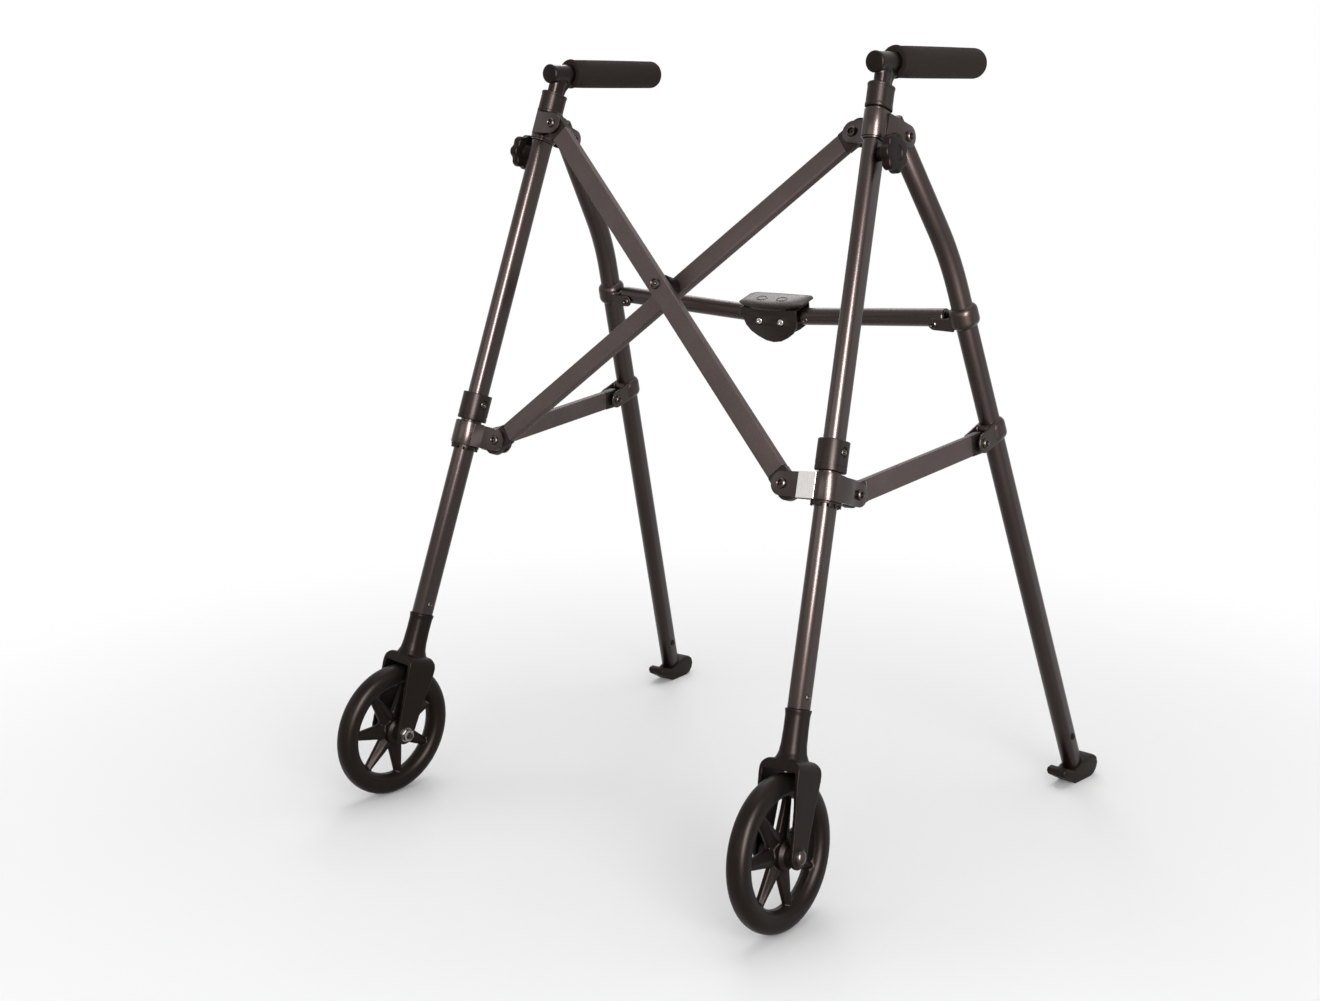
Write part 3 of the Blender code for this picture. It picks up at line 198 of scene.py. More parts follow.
MIRROR = Matrix.Diagonal((-1.0, 1.0, 1.0, 1.0))
X = Vector((1.0, 0.0, 0.0))
Y = Vector((0.0, 1.0, 0.0))
Z = Vector((0.0, 0.0, 1.0))


def axes(origin, x, y, z):
    """Place of a piece from its three directions."""
    matrix = Matrix((x, y, z)).transposed().to_4x4()
    matrix.translation = origin
    return matrix


def facing(origin, axis, towards):
    """Place with z along an axis and x turned towards a direction."""
    z = axis.normalized()
    x = (towards - towards.dot(z) * z).normalized()
    return axes(origin, x, z.cross(x), z)


LEG_BACK = Vector((0.0, math.cos(LEAN), -math.sin(LEAN)))
RISE = Vector((0.0, math.sin(LEAN), math.cos(LEAN)))
LEG_OUT = math.cos(SPLAY) * X + math.sin(SPLAY) * RISE
LEG_UP = math.cos(SPLAY) * RISE - math.sin(SPLAY) * X
LEG = axes(Vector((TRACK / 2, PLANE_Y, 0.0)), LEG_OUT, LEG_BACK, LEG_UP)
SIDE_OUT = math.cos(TOE) * LEG_OUT - math.sin(TOE) * LEG_BACK
SIDE_BACK = math.cos(TOE) * LEG_BACK + math.sin(TOE) * LEG_OUT
SIDE = axes(LEG.translation, SIDE_OUT, SIDE_BACK, LEG_UP)


def begin(kind, **options):
    """Adds a primitive with nothing else selected, and opens it for editing."""
    bpy.ops.object.select_all(action="DESELECT")
    getattr(bpy.ops.mesh, f"primitive_{kind}_add")(**options)
    bpy.ops.object.mode_set(mode="EDIT")
    bpy.ops.mesh.select_mode(type="VERT")
    bpy.ops.mesh.select_all(action="SELECT")
    return bpy.context.object


def choose(kind, test):
    """Selects the faces by middle and normal, or the edges by middle and direction."""
    bpy.ops.mesh.select_all(action="DESELECT")
    bpy.ops.mesh.select_mode(type=kind)
    mesh = bpy.context.object.data
    bm = bmesh.from_edit_mesh(mesh)
    bm.normal_update()
    if kind == "FACE":
        for face in bm.faces:
            if test(face.calc_center_median(), face.normal):
                face.select_set(True)
    else:
        for edge in bm.edges:
            first, last = (vertex.co for vertex in edge.verts)
            if test((first + last) / 2, (last - first).normalized()):
                edge.select_set(True)
    bmesh.update_edit_mesh(mesh)


def close(piece):
    """Turns all faces outwards and leaves the editing."""
    bpy.ops.mesh.select_all(action="SELECT")
    bpy.ops.mesh.normals_make_consistent(inside=False)
    bpy.ops.object.mode_set(mode="OBJECT")
    return piece


def apply(piece, kind, **settings):
    """Adds a modifier and applies it."""
    modifier = piece.modifiers.new(kind.lower(), kind)
    for name, value in settings.items():
        setattr(modifier, name, value)
    bpy.ops.object.select_all(action="DESELECT")
    piece.select_set(True)
    bpy.context.view_layer.objects.active = piece
    bpy.ops.object.modifier_apply(modifier=modifier.name)
    return piece


def soften(piece, width, steps=2, angle=38.0):
    """Rounds the edges that are sharper than an angle."""
    return apply(piece, "BEVEL", width=width, segments=steps, limit_method="ANGLE",
                 angle_limit=math.radians(angle))


def box(size, middle):
    """Plain box, left open for editing."""
    piece = begin("cube", size=1.0)
    bpy.ops.transform.resize(value=size)
    bpy.ops.transform.translate(value=middle)
    return piece


def weld(limit):
    """Joins the vertices that lie within a limit of each other."""
    bpy.ops.mesh.select_all(action="SELECT")
    bpy.ops.mesh.remove_doubles(threshold=limit)


def bar(width, depth, low, high, corner, steps=12):
    """Bar along z with rounded corners, left open for editing."""
    piece = box((width, depth, high - low), (0.0, 0.0, (low + high) / 2))
    choose("EDGE", lambda middle, along: abs(along.z) > SQUARE)
    bpy.ops.mesh.bevel(offset=corner * 0.999, segments=steps, affect="EDGES")
    weld(SAME)
    return piece


def tube(width, depth, low, high, corner, wall, steps=12):
    """Bar with its two ends opened into a tube."""
    piece = bar(width, depth, low, high, corner, steps)
    choose("FACE", lambda middle, normal: abs(normal.z) > SQUARE)
    bpy.ops.mesh.inset(thickness=wall)
    bpy.ops.mesh.delete(type="FACE")
    bpy.ops.mesh.select_mode(type="EDGE")
    bpy.ops.mesh.select_non_manifold()
    bpy.ops.mesh.bridge_edge_loops()
    return close(piece)


def trace(points, closed=True):
    """Draws an outline vertex by vertex, and fills it if it is closed."""
    spots = [Vector(point) for point in points]
    piece = begin("plane", size=0.001)
    bpy.ops.mesh.merge(type="CENTER")
    bpy.ops.transform.translate(value=spots[0])
    for here, there in zip(spots, spots[1:]):
        bpy.ops.mesh.extrude_vertices_move(TRANSFORM_OT_translate={"value": there - here})
    bpy.ops.mesh.select_all(action="SELECT")
    if closed:
        bpy.ops.mesh.edge_face_add()
    return piece


def turned(profile, steps=32):
    """Turns a profile of (radius, height) pairs about z."""
    piece = trace([(radius, 0.0, height) for radius, height in profile], closed=False)
    bpy.ops.mesh.spin(steps=steps, angle=math.tau, center=(0.0, 0.0, 0.0), axis=(0.0, 0.0, 1.0))
    weld(SAME / 15)
    return close(piece)


def dress(piece, name, body, finish, nodes=(), angle=32.0):
    """Names a finished piece, and gives it its finish, its body and the CAD nodes it stands for."""
    piece.name = name
    piece.data.name = name
    piece.data.materials.clear()
    piece.data.materials.append(finish)
    bpy.ops.object.select_all(action="DESELECT")
    piece.select_set(True)
    bpy.context.view_layer.objects.active = piece
    bpy.ops.object.shade_smooth_by_angle(angle=math.radians(angle))
    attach(piece, body)
    if nodes:
        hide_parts(*nodes)


def pair(piece, name, place, body, finish, nodes=(), sides=("left", "right"), angle=32.0):
    """Sets a piece that was made in its own frame on the left side, and its mirror twin on the right."""
    made = {}
    for side in sides:
        copy = piece.copy()
        copy.data = piece.data.copy()
        bpy.context.scene.collection.objects.link(copy)
        copy.data.transform(place)
        if side == "right":
            copy.data.transform(MIRROR)
            copy.data.flip_normals()
        dress(copy, name.format(side), body.format(side), finish,
              [node.format(side) for node in nodes], angle)
        made[side] = copy
    bpy.data.objects.remove(piece)
    return made


def new_finish(name, **constants):
    """A material with its fixed values set, a first wire, its shader and its object coordinates."""
    made = bpy.data.materials.new(name)
    made.use_nodes = True
    shader = made.node_tree.nodes["Principled BSDF"]
    for key, value in constants.items():
        shader.inputs[key.replace("_", " ")].default_value = value
    wire = Wire(made.node_tree)
    return made, wire, shader, wire.node("TexCoord", {}, {}, "Object")


def noise(wire, spot, scale, detail=2.0, roughness=0.5):
    return wire.node("TexNoise", {}, {"Vector": spot, "Scale": scale, "Detail": detail,
                                      "Roughness": roughness}, "Fac")


def above(wire, value, low, high):
    """0 below low, 1 above high, smooth between them."""
    return wire.node("MapRange", {"interpolation_type": "SMOOTHSTEP"},
                     {"Value": value, "From Min": low, "From Max": high})


def blend(wire, share, first, second):
    return wire.node("Mix", {"data_type": "RGBA"}, {0: share, 6: (*first, 1.0), 7: (*second, 1.0)}, 2)


def bumped(wire, height, strength, distance):
    return wire.node("Bump", {}, {"Height": height, "Strength": strength, "Distance": distance}, "Normal")


def metallic_paint(name, dark, light, gloss, coat=0.32, stretch=(260.0, 260.0, 16.0)):
    """Baked paint under a thin clear coat: fine metal flake, faint orange peel, thin handling marks."""
    made, wire, shader, spot = new_finish(name, Metallic=0.97, Coat_Roughness=0.19)
    cloud = noise(wire, spot, 9.0, 3.0)
    flake = above(wire, noise(wire, spot, 2600.0, 1.0), 0.44, 0.70)
    tone = above(wire, cloud, 0.3, 0.7) * 0.35 + flake * 0.65
    blend(wire, tone, dark, light).feed(shader, "Base Color")
    long_spot = wire.node("Mapping", {}, {"Vector": spot, "Scale": stretch})
    mark = above(wire, noise(wire, long_spot, 1.0, 3.0, 0.6), 0.66, 0.78)
    (gloss + cloud * 0.05 + mark * 0.08).feed(shader, "Roughness")
    (coat * (1.0 - mark * 0.3)).feed(shader, "Coat Weight")
    peel = noise(wire, spot, 520.0, 2.0)
    bumped(wire, peel, 0.015, 0.0002).feed(shader, "Normal")
    return made


tube_paint = metallic_paint("tube_paint", (0.026, 0.0176, 0.0154), (0.042, 0.0296, 0.0266), 0.33)


def socket_head(radius, height):
    """Button head on z = 0 with a rounded rim and a deep round socket."""
    shape = ((0.0, 0.10), (0.36, 0.10), (0.42, 0.88), (0.58, 1.0), (0.80, 0.86), (0.95, 0.50), (1.0, 0.10))
    profile = [(radius * wide, height * high) for wide, high in shape]
    return soften(turned(profile + [(radius, -SCREW_SUNK), (0.0, -SCREW_SUNK)], 28), 0.0001, 1, CUT_ANGLE)


def steel_finish(name, shade, roughness):
    """Plated steel with fine turning marks and a little grime."""
    made, wire, shader, spot = new_finish(name, Metallic=1.0)
    grime = above(wire, noise(wire, spot, 340.0, 4.0, 0.65), 0.42, 0.70)
    low = tuple(part * 0.55 for part in shade)
    blend(wire, grime, shade, low).feed(shader, "Base Color")
    (roughness + grime * 0.18).feed(shader, "Roughness")
    bumped(wire, noise(wire, spot, 1500.0, 2.0), 0.15, 0.0002).feed(shader, "Normal")
    return made


dark_steel = steel_finish("blackened_steel", (0.060, 0.047, 0.043), 0.26)
grey_steel = steel_finish("satin_screw_steel", (0.24, 0.225, 0.215), 0.24)
bright_steel = steel_finish("zinc_plated_steel", (0.46, 0.44, 0.43), 0.22)

leg_tube = soften(tube(LEG_W, LEG_D, LEG_LOW, LEG_TOP, LEG_W / 2, WALL), 0.0003)
pair(leg_tube, "{}_leg_tube", LEG, "{}_leg", tube_paint, ["{}_front_leg"])

for label, flank in FLANKS:
    seat = facing(LEG @ Vector((flank * LEG_W / 2, FORK_SCREW_Y, FORK_SCREW_C)), flank * LEG_OUT, LEG_UP)
    pair(socket_head(SCREW_R, FORK_SCREW_H), "{}_fork_screw_" + label, seat, "{}_leg",
         dark_steel)


# Stop sleeves: moulded black collars pinned halfway down each leg, which stop the sliding collar.
# A fine groove runs round the lower end, and a small dark screw sits in a dish on each flat side.
WARM = (1.0, 0.80, 0.73, 1.0)


def moulded(name, colour, roughness, shine=0.19, grain=900.0, relief=0.22):
    """Satin black plastic: a fine moulded grain, dust in its hollows and rubbed spots."""
    made, wire, shader, spot = new_finish(name, IOR=1.5, Specular_IOR_Level=shine, Specular_Tint=WARM)
    cloud = noise(wire, spot, 22.0, 4.0, 0.6)
    worn = above(wire, cloud, 0.52, 0.78)
    pale = tuple(part * 1.35 + 0.004 for part in colour)
    blend(wire, worn, colour, pale).feed(shader, "Base Color")
    rub = above(wire, noise(wire, spot, 130.0, 5.0, 0.7), 0.55, 0.75)
    (roughness + cloud * 0.10 - rub * 0.07).feed(shader, "Roughness")
    bumped(wire, noise(wire, spot, grain, 3.0), relief, 0.00025).feed(shader, "Normal")
    return made


black_plastic = moulded("satin_black_plastic", (0.0074, 0.0048, 0.0038), 0.34)
deep_plastic = moulded("deep_black_plastic", (0.0062, 0.0040, 0.0032), 0.36, 0.10)
dull_plastic = moulded("dull_black_plastic", (0.0072, 0.0048, 0.0038), 0.46, 0.12, 600.0)

STOP_W = 0.026
STOP_D = 0.036
STOP_LOW = 0.44432
STOP_TOP = 0.47532
GROOVE_C = STOP_LOW + 0.0052
GROOVE_H = 0.0009
GROOVE_DEEP = 0.0006
GROOVE_OUT = 0.002
STOP_EDGE = 0.0011
DISH_C = 0.4640
DISH_R = 0.0056
DISH_DEEP = 0.0014
DISH_SEAT = 0.0013
STOP_SCREW_H = 0.0015
OVERRUN = 0.01


def merge(piece, tool, operation="UNION"):
    """Joins a tool to a piece, or cuts it away, and drops the tool."""
    apply(piece, "BOOLEAN", operation=operation, solver="EXACT", object=tool)
    bpy.data.objects.remove(tool)
    return piece


def put(piece, place):
    """Moves the mesh itself to a place."""
    piece.data.transform(place)
    return piece


def oval(width, depth, low, high, steps=12):
    """Closed oval bar with flat sides, width along x and depth along y."""
    return close(bar(width, depth, low, high, width / 2, steps))


def cut(piece, tool):
    return merge(piece, tool, "DIFFERENCE")


def bore(piece, width, depth, low, high):
    """Cuts an oval hole that clears a tube of this size all round."""
    return cut(piece, oval(width + 2 * FIT, depth + 2 * FIT, low, high))


stop_sleeve = soften(oval(STOP_W, STOP_D, STOP_LOW, STOP_TOP), STOP_EDGE, 3)
bore(stop_sleeve, LEG_W, LEG_D, STOP_LOW - OVERRUN, STOP_TOP + OVERRUN)
groove = tube(STOP_W + 2 * GROOVE_OUT, STOP_D + 2 * GROOVE_OUT, GROOVE_C, GROOVE_C + GROOVE_H,
              STOP_W / 2 + GROOVE_OUT, GROOVE_OUT + GROOVE_DEEP, 10)
cut(stop_sleeve, groove)
for label, flank in FLANKS:
    stop_side = facing(LEG @ Vector((flank * STOP_W / 2, 0.0, DISH_C)), flank * LEG_OUT, LEG_UP)
    dish = turned([(0.0, 0.001), (DISH_R, 0.001), (DISH_R, -0.0010), (DISH_R - 0.0006, -DISH_DEEP),
                   (0.0, -DISH_DEEP)])
    cut(stop_sleeve, put(dish, LEG.inverted() @ stop_side))
    seat = stop_side @ Matrix.Translation((0.0, 0.0, -DISH_SEAT))
    pair(socket_head(SCREW_R, STOP_SCREW_H), "{}_stop_screw_" + label, seat, "{}_leg",
         dark_steel)
soften(stop_sleeve, 0.0002, 1, CUT_ANGLE)
pair(stop_sleeve, "{}_stop_collar", LEG, "{}_leg", black_plastic, ["{}_stop_sleeve"])


# Top brackets: a sleeve over the top of each leg with two pairs of ears, for the brace and the rear leg.
# It is welded to the leg with a bead above and below, and the bolts sit in round recesses.
BRACKET_W = 0.022
BRACKET_D = 0.0315
BRACKET_H = 0.027
BRACKET_C = 0.78682
BRACE_EYE_IN = 0.0343
REAR_EYE_BACK = 0.0380
FRONT_BAR_TOP = 0.020
REAR_BAR_TOP = 0.018
EYE_R = 0.0115
EAR_T = 0.003
HINGE_GAP = 0.0004
TONGUE_T = 0.010
REAR_W = 0.0195
REAR_D = 0.025
WEB_T = 0.006
WEB_LAP = 0.006
PIN_R = 0.003
HEAD_R = 0.0055
HEAD_H = 0.0028
BEAD_HALF = 0.0013
EAR_LAP = 0.002
ROOT = BRACKET_H / 2 - 0.001
TO_SIDE = LEG.inverted() @ SIDE


def side_eye(back, level):
    """Hinge behind the leg, in the leg's frame, with its pin square to the plane of the rear leg."""
    return facing(TO_SIDE @ Vector((0.0, back, level)), TO_SIDE.col[0].xyz, -TO_SIDE.col[1].xyz)


def shift(piece, x, y, z):
    return put(piece, Matrix.Translation((x, y, z)))


def ear(length, radius, root, thick, edge=0.0007):
    """Plate with a round end about its own origin, a root at x = length, and its thickness along z."""
    piece = box((length + radius, 2 * radius, thick), ((length - radius) / 2, 0.0, 0.0))
    choose("EDGE", lambda middle, along: abs(along.z) > SQUARE and middle.x < 0.0)
    bpy.ops.mesh.bevel(offset=radius * 0.999, segments=14, affect="EDGES")
    choose("FACE", lambda middle, normal: normal.x > SQUARE and middle.x > length * 0.9)
    bpy.ops.transform.resize(value=(1.0, root / radius, 1.0))
    weld(SAME)
    return soften(close(piece), edge, 2)


def clevis(target, place, half_gap, length, radius, root):
    """Two ears joined to a bracket, each half_gap off the middle of the joint."""
    for side in (-1.0, 1.0):
        plate = ear(length, radius, root, EAR_T)
        lay = place @ Matrix.Translation((0.0, 0.0, side * (half_gap + EAR_T / 2)))
        merge(target, put(plate, lay))


def cast(piece, grain, rounds, share):
    """Melts the corners of joined shapes into the fillets of a forging."""
    apply(piece, "REMESH", mode="VOXEL", voxel_size=grain)
    apply(piece, "SMOOTH", factor=0.5, iterations=rounds)
    return apply(piece, "DECIMATE", ratio=share)


def joint_bolt(half, radius=HEAD_R):
    """Bolt through a clevis with a recessed button head outside each ear."""
    profile = [(share * radius, -half - height * HEAD_H) for share, height in (
        (0.0, 0.70), (0.13, 0.66), (0.20, 0.45), (0.22, 0.12), (0.46, 0.10), (0.52, 0.66), (0.62, 0.90),
        (0.76, 0.88), (0.90, 0.66), (0.98, 0.30), (1.0, 0.0))] + [(PIN_R, -half)]
    return turned(profile + [(wide, -height) for wide, height in reversed(profile)], 24)


for side, brace_y in (("left", REAR_BAR_TOP), ("right", -FRONT_BAR_TOP)):
    low = BRACKET_C - BRACKET_H / 2
    high = BRACKET_C + BRACKET_H / 2
    half_gap = TONGUE_T / 2 + HINGE_GAP
    reach = abs(brace_y) + half_gap + EAR_T
    bracket = oval(BRACKET_W, BRACKET_D, low, high)
    web = close(bar(WEB_T, reach - BRACKET_D / 2 + WEB_LAP, BRACKET_C - ROOT, BRACKET_C + ROOT, 0.001, 2))
    web_y = math.copysign((reach + BRACKET_D / 2 - WEB_LAP) / 2, brace_y)
    merge(bracket, shift(web, -BRACKET_W / 2, web_y, 0.0))
    brace_eye = facing(Vector((-BRACE_EYE_IN, brace_y, BRACKET_C)), Y, X)
    clevis(bracket, brace_eye, half_gap, BRACE_EYE_IN - BRACKET_W / 2 + WEB_T / 2 - 0.0005, EYE_R, ROOT)
    rear_eye = side_eye(REAR_EYE_BACK, BRACKET_C)
    rear_gap = REAR_W / 2 + HINGE_GAP
    clevis(bracket, rear_eye, rear_gap, REAR_EYE_BACK - EAR_LAP, EYE_R, ROOT)
    bore(bracket, LEG_W, LEG_D, low - OVERRUN, high + OVERRUN)
    soften(bracket, 0.0005, 2, CUT_ANGLE)
    pair(bracket, "{}_bracket", LEG, "{}_leg", tube_paint, ["{}_top_bracket"], (side,))
    pair(joint_bolt(half_gap + EAR_T + FIT), "{}_brace_pivot", LEG @ brace_eye, "{}_leg",
         dark_steel, ["{}_brace_top_bolt"], (side,))
    pair(joint_bolt(rear_gap + EAR_T + FIT), "{}_rear_leg_pivot", LEG @ rear_eye, "{}_leg",
         dark_steel, ["{}_rear_leg_bolt"], (side,))

for label, level, flare in (("lower", BRACKET_C - BRACKET_H / 2 - 0.0008, 0.0014),
                            ("upper", BRACKET_C + BRACKET_H / 2 + 0.0006, 0.0012)):
    bead = soften(tube(LEG_W + 2 * flare, LEG_D + 2 * flare, level - BEAD_HALF, level + BEAD_HALF,
                       LEG_W / 2 + flare, flare - FIT / 2), 0.0008, 3)
    pair(bead, "{}_" + label + "_weld", LEG, "{}_leg", tube_paint)


# Telescoping handles: an oval post that slides in a black bushing, with a round tube welded across
# its top. The tube carries a black cap in front and a foam grip with a thick flange behind.
BUSHING_W = 0.022
BUSHING_D = 0.0325
BUSHING_H = 0.024
BUSHING_LAP = 0.003
BUSHING_STEP = 0.0007
BUSHING_FOOT = 0.0042
BUSHING_HEAD = 0.0036
POST_W = 0.0134
POST_D = 0.0204
POST_LENGTH = 0.300
HANDLE_C = 0.85152
HANDLE_R = 0.010
HANDLE_FRONT = 0.0155
HANDLE_BACK = 0.162
HANDLE_PITCH = math.radians(1.1)
HANDLE_TOE = math.radians(1.4)
GRIP_START = 0.0156
GRIP_R = 0.01575
FLANGE_R = 0.0164
FLANGE_L = 0.0052
FLANGE_ROUND = 0.0040
GRIP_END = 0.008
GUSSET = ((0.0, 0.026), (0.0096, 0.023), (0.0108, 0.017), (0.0134, 0.0122), (0.0180, 0.0085),
          (0.0180, 0.003), (0.0, 0.003))
GUSSET_T = 0.0116
SADDLE_OUT = 0.0011
CAP_T = 0.0032
CAP_R = 0.0106
CAP_PIN_R = HANDLE_R - 0.0025
CAP_PIN_T = 0.0008


def slab(points, start, thickness):
    """An outline in the XY plane raised from z = start to a thickness."""
    piece = trace([(x, y, start) for x, y in points])
    bpy.ops.mesh.extrude_region_move(TRANSFORM_OT_translate={"value": (0.0, 0.0, thickness)})
    return close(piece)


ACROSS = Matrix(((0, 0, 1, 0), (1, 0, 0, 0), (0, 1, 0, 0), (0, 0, 0, 1)))
top = LEG_TOP + FIT + BUSHING_H - BUSHING_LAP
bushing = soften(oval(BUSHING_W - BUSHING_STEP, BUSHING_D - BUSHING_STEP, LEG_TOP - BUSHING_LAP, top),
                 0.0012, 3)
for low, high in ((LEG_TOP - BUSHING_LAP, LEG_TOP - BUSHING_LAP + BUSHING_FOOT), (top - BUSHING_HEAD, top)):
    merge(bushing, soften(oval(BUSHING_W, BUSHING_D, low, high), 0.0009, 3))
bore(bushing, LEG_W, LEG_D, LEG_TOP - 2 * OVERRUN, LEG_TOP + FIT)
bore(bushing, POST_W, POST_D, LEG_TOP - 2 * OVERRUN, top + OVERRUN)
pair(bushing, "{}_bushing", LEG, "{}_leg", black_plastic, ["{}_post_bushing"])

along = Vector((math.sin(HANDLE_TOE), math.cos(HANDLE_TOE), math.tan(HANDLE_PITCH))).normalized()
GRIP = facing(LEG @ Vector((0.0, 0.0, HANDLE_C)), along, X)
post = oval(POST_W, POST_D, HANDLE_C - POST_LENGTH, HANDLE_C, 14)
grip_in_leg = LEG.inverted() @ GRIP
cross_tube = put(turned([(0.0, -HANDLE_FRONT), (HANDLE_R, -HANDLE_FRONT), (HANDLE_R, HANDLE_BACK),
                         (0.0, HANDLE_BACK)], 48), grip_in_leg)
merge(post, cross_tube)
gusset = slab([(back, HANDLE_C - down) for back, down in GUSSET], -GUSSET_T / 2, GUSSET_T)
merge(post, put(gusset, ACROSS))
saddle = oval(POST_W + 2 * SADDLE_OUT, POST_D + 2 * SADDLE_OUT, HANDLE_C - 0.0108, HANDLE_C - 0.004, 14)
merge(post, soften(saddle, 0.0016, 3))
cast(post, 0.0007, 6, 0.32)
# Handle paint is the tube paint made darker with a thinner coat; the darkening is painted shade, standing in
# for the dimmer reflections on the tee.
handle_paint = metallic_paint("handle_paint", (0.0125, 0.0082, 0.0070), (0.0210, 0.0144, 0.0126), 0.32,
                              0.08)
pair(post, "{}_handle_tee", LEG, "{}_handle", handle_paint, ["{}_handle_post"],
     angle=CAST_ANGLE)

front = -HANDLE_FRONT - FIT
cap = turned([(0.0, front - CAP_T), (CAP_R * 0.80, front - CAP_T), (CAP_R * 0.93, front - CAP_T * 0.86),
              (CAP_R, front - CAP_T * 0.5), (CAP_R, front), (CAP_PIN_R, front),
              (CAP_PIN_R, front + CAP_PIN_T), (0.0, front + CAP_PIN_T)], 40)
pair(cap, "{}_handle_end", GRIP, "{}_handle", deep_plastic, ["{}_handle_cap"])


def foam_finish():
    """Closed-cell foam: fine open pores, a dry sheen and darker hand-worn patches."""
    made, wire, shader, spot = new_finish("grip_foam", IOR=1.35, Specular_IOR_Level=0.24, Specular_Tint=WARM)
    pores = wire.node("TexVoronoi", {"feature": "F1"}, {"Vector": spot, "Scale": 900.0}, "Distance")
    cloud = noise(wire, spot, 45.0, 4.0, 0.6)
    blend(wire, cloud, (0.0082, 0.0060, 0.0048), (0.0145, 0.0112, 0.0092)).feed(shader, "Base Color")
    (0.80 + cloud * 0.15).feed(shader, "Roughness")
    bumped(wire, pores + noise(wire, spot, 2400.0) * 0.6, 0.55, 0.0004).feed(shader, "Normal")
    return made


foam = foam_finish()
inner = HANDLE_R + FIT
foam_end = HANDLE_BACK + FIT
profile = [(0.0, foam_end), (inner, foam_end), (inner, GRIP_START), (FLANGE_R - 0.0032, GRIP_START)]
for step in range(1, 9):
    turn = math.pi * step / 8
    profile.append((FLANGE_R - FLANGE_ROUND + FLANGE_ROUND * math.sin(turn) ** 0.7,
                    GRIP_START + FLANGE_L / 2 * (1 - math.cos(turn))))
profile[-1] = (GRIP_R - 0.0016, GRIP_START + FLANGE_L + 0.0004)
profile.append((GRIP_R - 0.0002, GRIP_START + FLANGE_L + 0.0020))
for step in range(1, 8):
    share = step / 8
    profile.append((GRIP_R + 0.0001 * math.sin(math.pi * share),
                    GRIP_START + FLANGE_L + 0.002 + share * (foam_end - GRIP_START - FLANGE_L - 0.006)))
for degrees in (0, 15, 30, 45, 60, 75, 90):
    turn = math.radians(degrees)
    profile.append((GRIP_R - GRIP_END * (1 - math.cos(turn)), foam_end + GRIP_END * math.sin(turn)))
profile.append((0.0, foam_end + GRIP_END))
grips = pair(turned(profile, 48), "{}_foam_grip", GRIP, "{}_handle", foam, ["{}_handle_grip"],
             angle=CUT_ANGLE)


# Height knobs: seven-lobed moulded hand screws on the outside of each leg, below the bracket.
# The neck stands on the flat side of the tube, and its threaded shank presses on the post inside.
KNOB_C = 0.75772
KNOB_R = 0.0198
KNOB_T = 0.0098
KNOB_STAND = 0.0105
KNOB_LOBES = 7
LOBE = 0.0013
KNOB_ROUND = 0.0022
DIMPLE_DEEP = 0.0008
KNOB_NECK_R = 0.0070
SHANK_R = 0.0040

knob_low = LEG_W / 2 + FIT + KNOB_STAND
outline = []
for step in range(KNOB_LOBES * 12):
    turn = math.tau * step / (KNOB_LOBES * 12)
    dent = (0.5 - 0.5 * math.cos(KNOB_LOBES * turn)) ** 1.6
    out = KNOB_R - 2 * LOBE * dent
    outline.append((out * math.cos(turn), out * math.sin(turn)))
knob = soften(slab(outline, knob_low, KNOB_T), KNOB_ROUND, 4, CAST_ANGLE)
shank = turned([(0.0, POST_W / 2 + FIT), (SHANK_R, POST_W / 2 + FIT), (SHANK_R, LEG_W / 2 + FIT),
                (KNOB_NECK_R, LEG_W / 2 + FIT), (KNOB_NECK_R, knob_low - 0.003), (0.0095, knob_low + 0.001),
                (0.0, knob_low + 0.001)])
merge(knob, shank)
dimple = turned([(0.0, knob_low + KNOB_T - DIMPLE_DEEP), (0.0075, knob_low + KNOB_T - DIMPLE_DEEP),
                 (0.0092, knob_low + KNOB_T + 0.0004), (0.0, knob_low + KNOB_T + 0.0004)])
cut(knob, dimple)
knob_place = facing(LEG @ Vector((0.0, 0.0, KNOB_C)), LEG_OUT, LEG_UP)
pair(knob, "{}_knob_head", knob_place, "{}_knob", deep_plastic, ["{}_height_knob"])


# Wheels: a black fork with a flared neck and broad shoulders, a seven-spoke moulded rim,
# and a smooth solid tyre. The axle is a dark bolt, its domed head outside and a hex nut inside.
WHEEL_R = 0.0762
TYRE_W = 0.022
RIM_R = 0.0615
WINDOW_R = 0.0535
HUB_R = 0.0155
HUB_GAP = 0.0006
SPOKE_TAPER = (0.80, 0.40, 1.0)
SPOKES = 7
SPOKE_SECTION = [(-0.0022, -0.0105), (0.0022, -0.0105), (0.0062, -0.0012), (0.0062, 0.0012),
                 (0.0022, 0.0105), (-0.0022, 0.0105), (-0.0062, 0.0012), (-0.0062, -0.0012)]
AXLE_C = 0.08042
ARCH_C = 0.15780
SHOULDER_C = 0.16662
FORK_GAP = 0.038
ARM_T = 0.004
ARM_END_R = 0.0122
CROWN_D = 0.040
NECK_W = 0.0205
NECK_D = 0.030
AXLE_R = 0.004
BOSS_R = 0.0092
BOSS_H = 0.0010
AXLE_SEAT = 0.0008
NUT_R = 0.0074
NUT_H = 0.0046
WASHER_R = 0.0082
WASHER_T = 0.0010

arm = FORK_GAP / 2 + ARM_T


def arched(width, depth, low, high, corner, steps, radius):
    """Bar whose two top edges along y are rounded to a radius."""
    piece = close(bar(width, depth, low, high, corner, steps))
    bpy.ops.object.mode_set(mode="EDIT")
    choose("EDGE", lambda middle, along: abs(along.y) > SQUARE and middle.z > high - 0.0015)
    bpy.ops.mesh.bevel(offset=radius, segments=8, affect="EDGES")
    return close(piece)


fork = arched(2 * arm, 0.10, AXLE_C - ARM_END_R, SHOULDER_C + 0.002, 0.001, 2, 0.011)
cut(fork, arched(FORK_GAP, 0.12, AXLE_C - 0.05, ARCH_C, 0.0002, 1, 0.010))


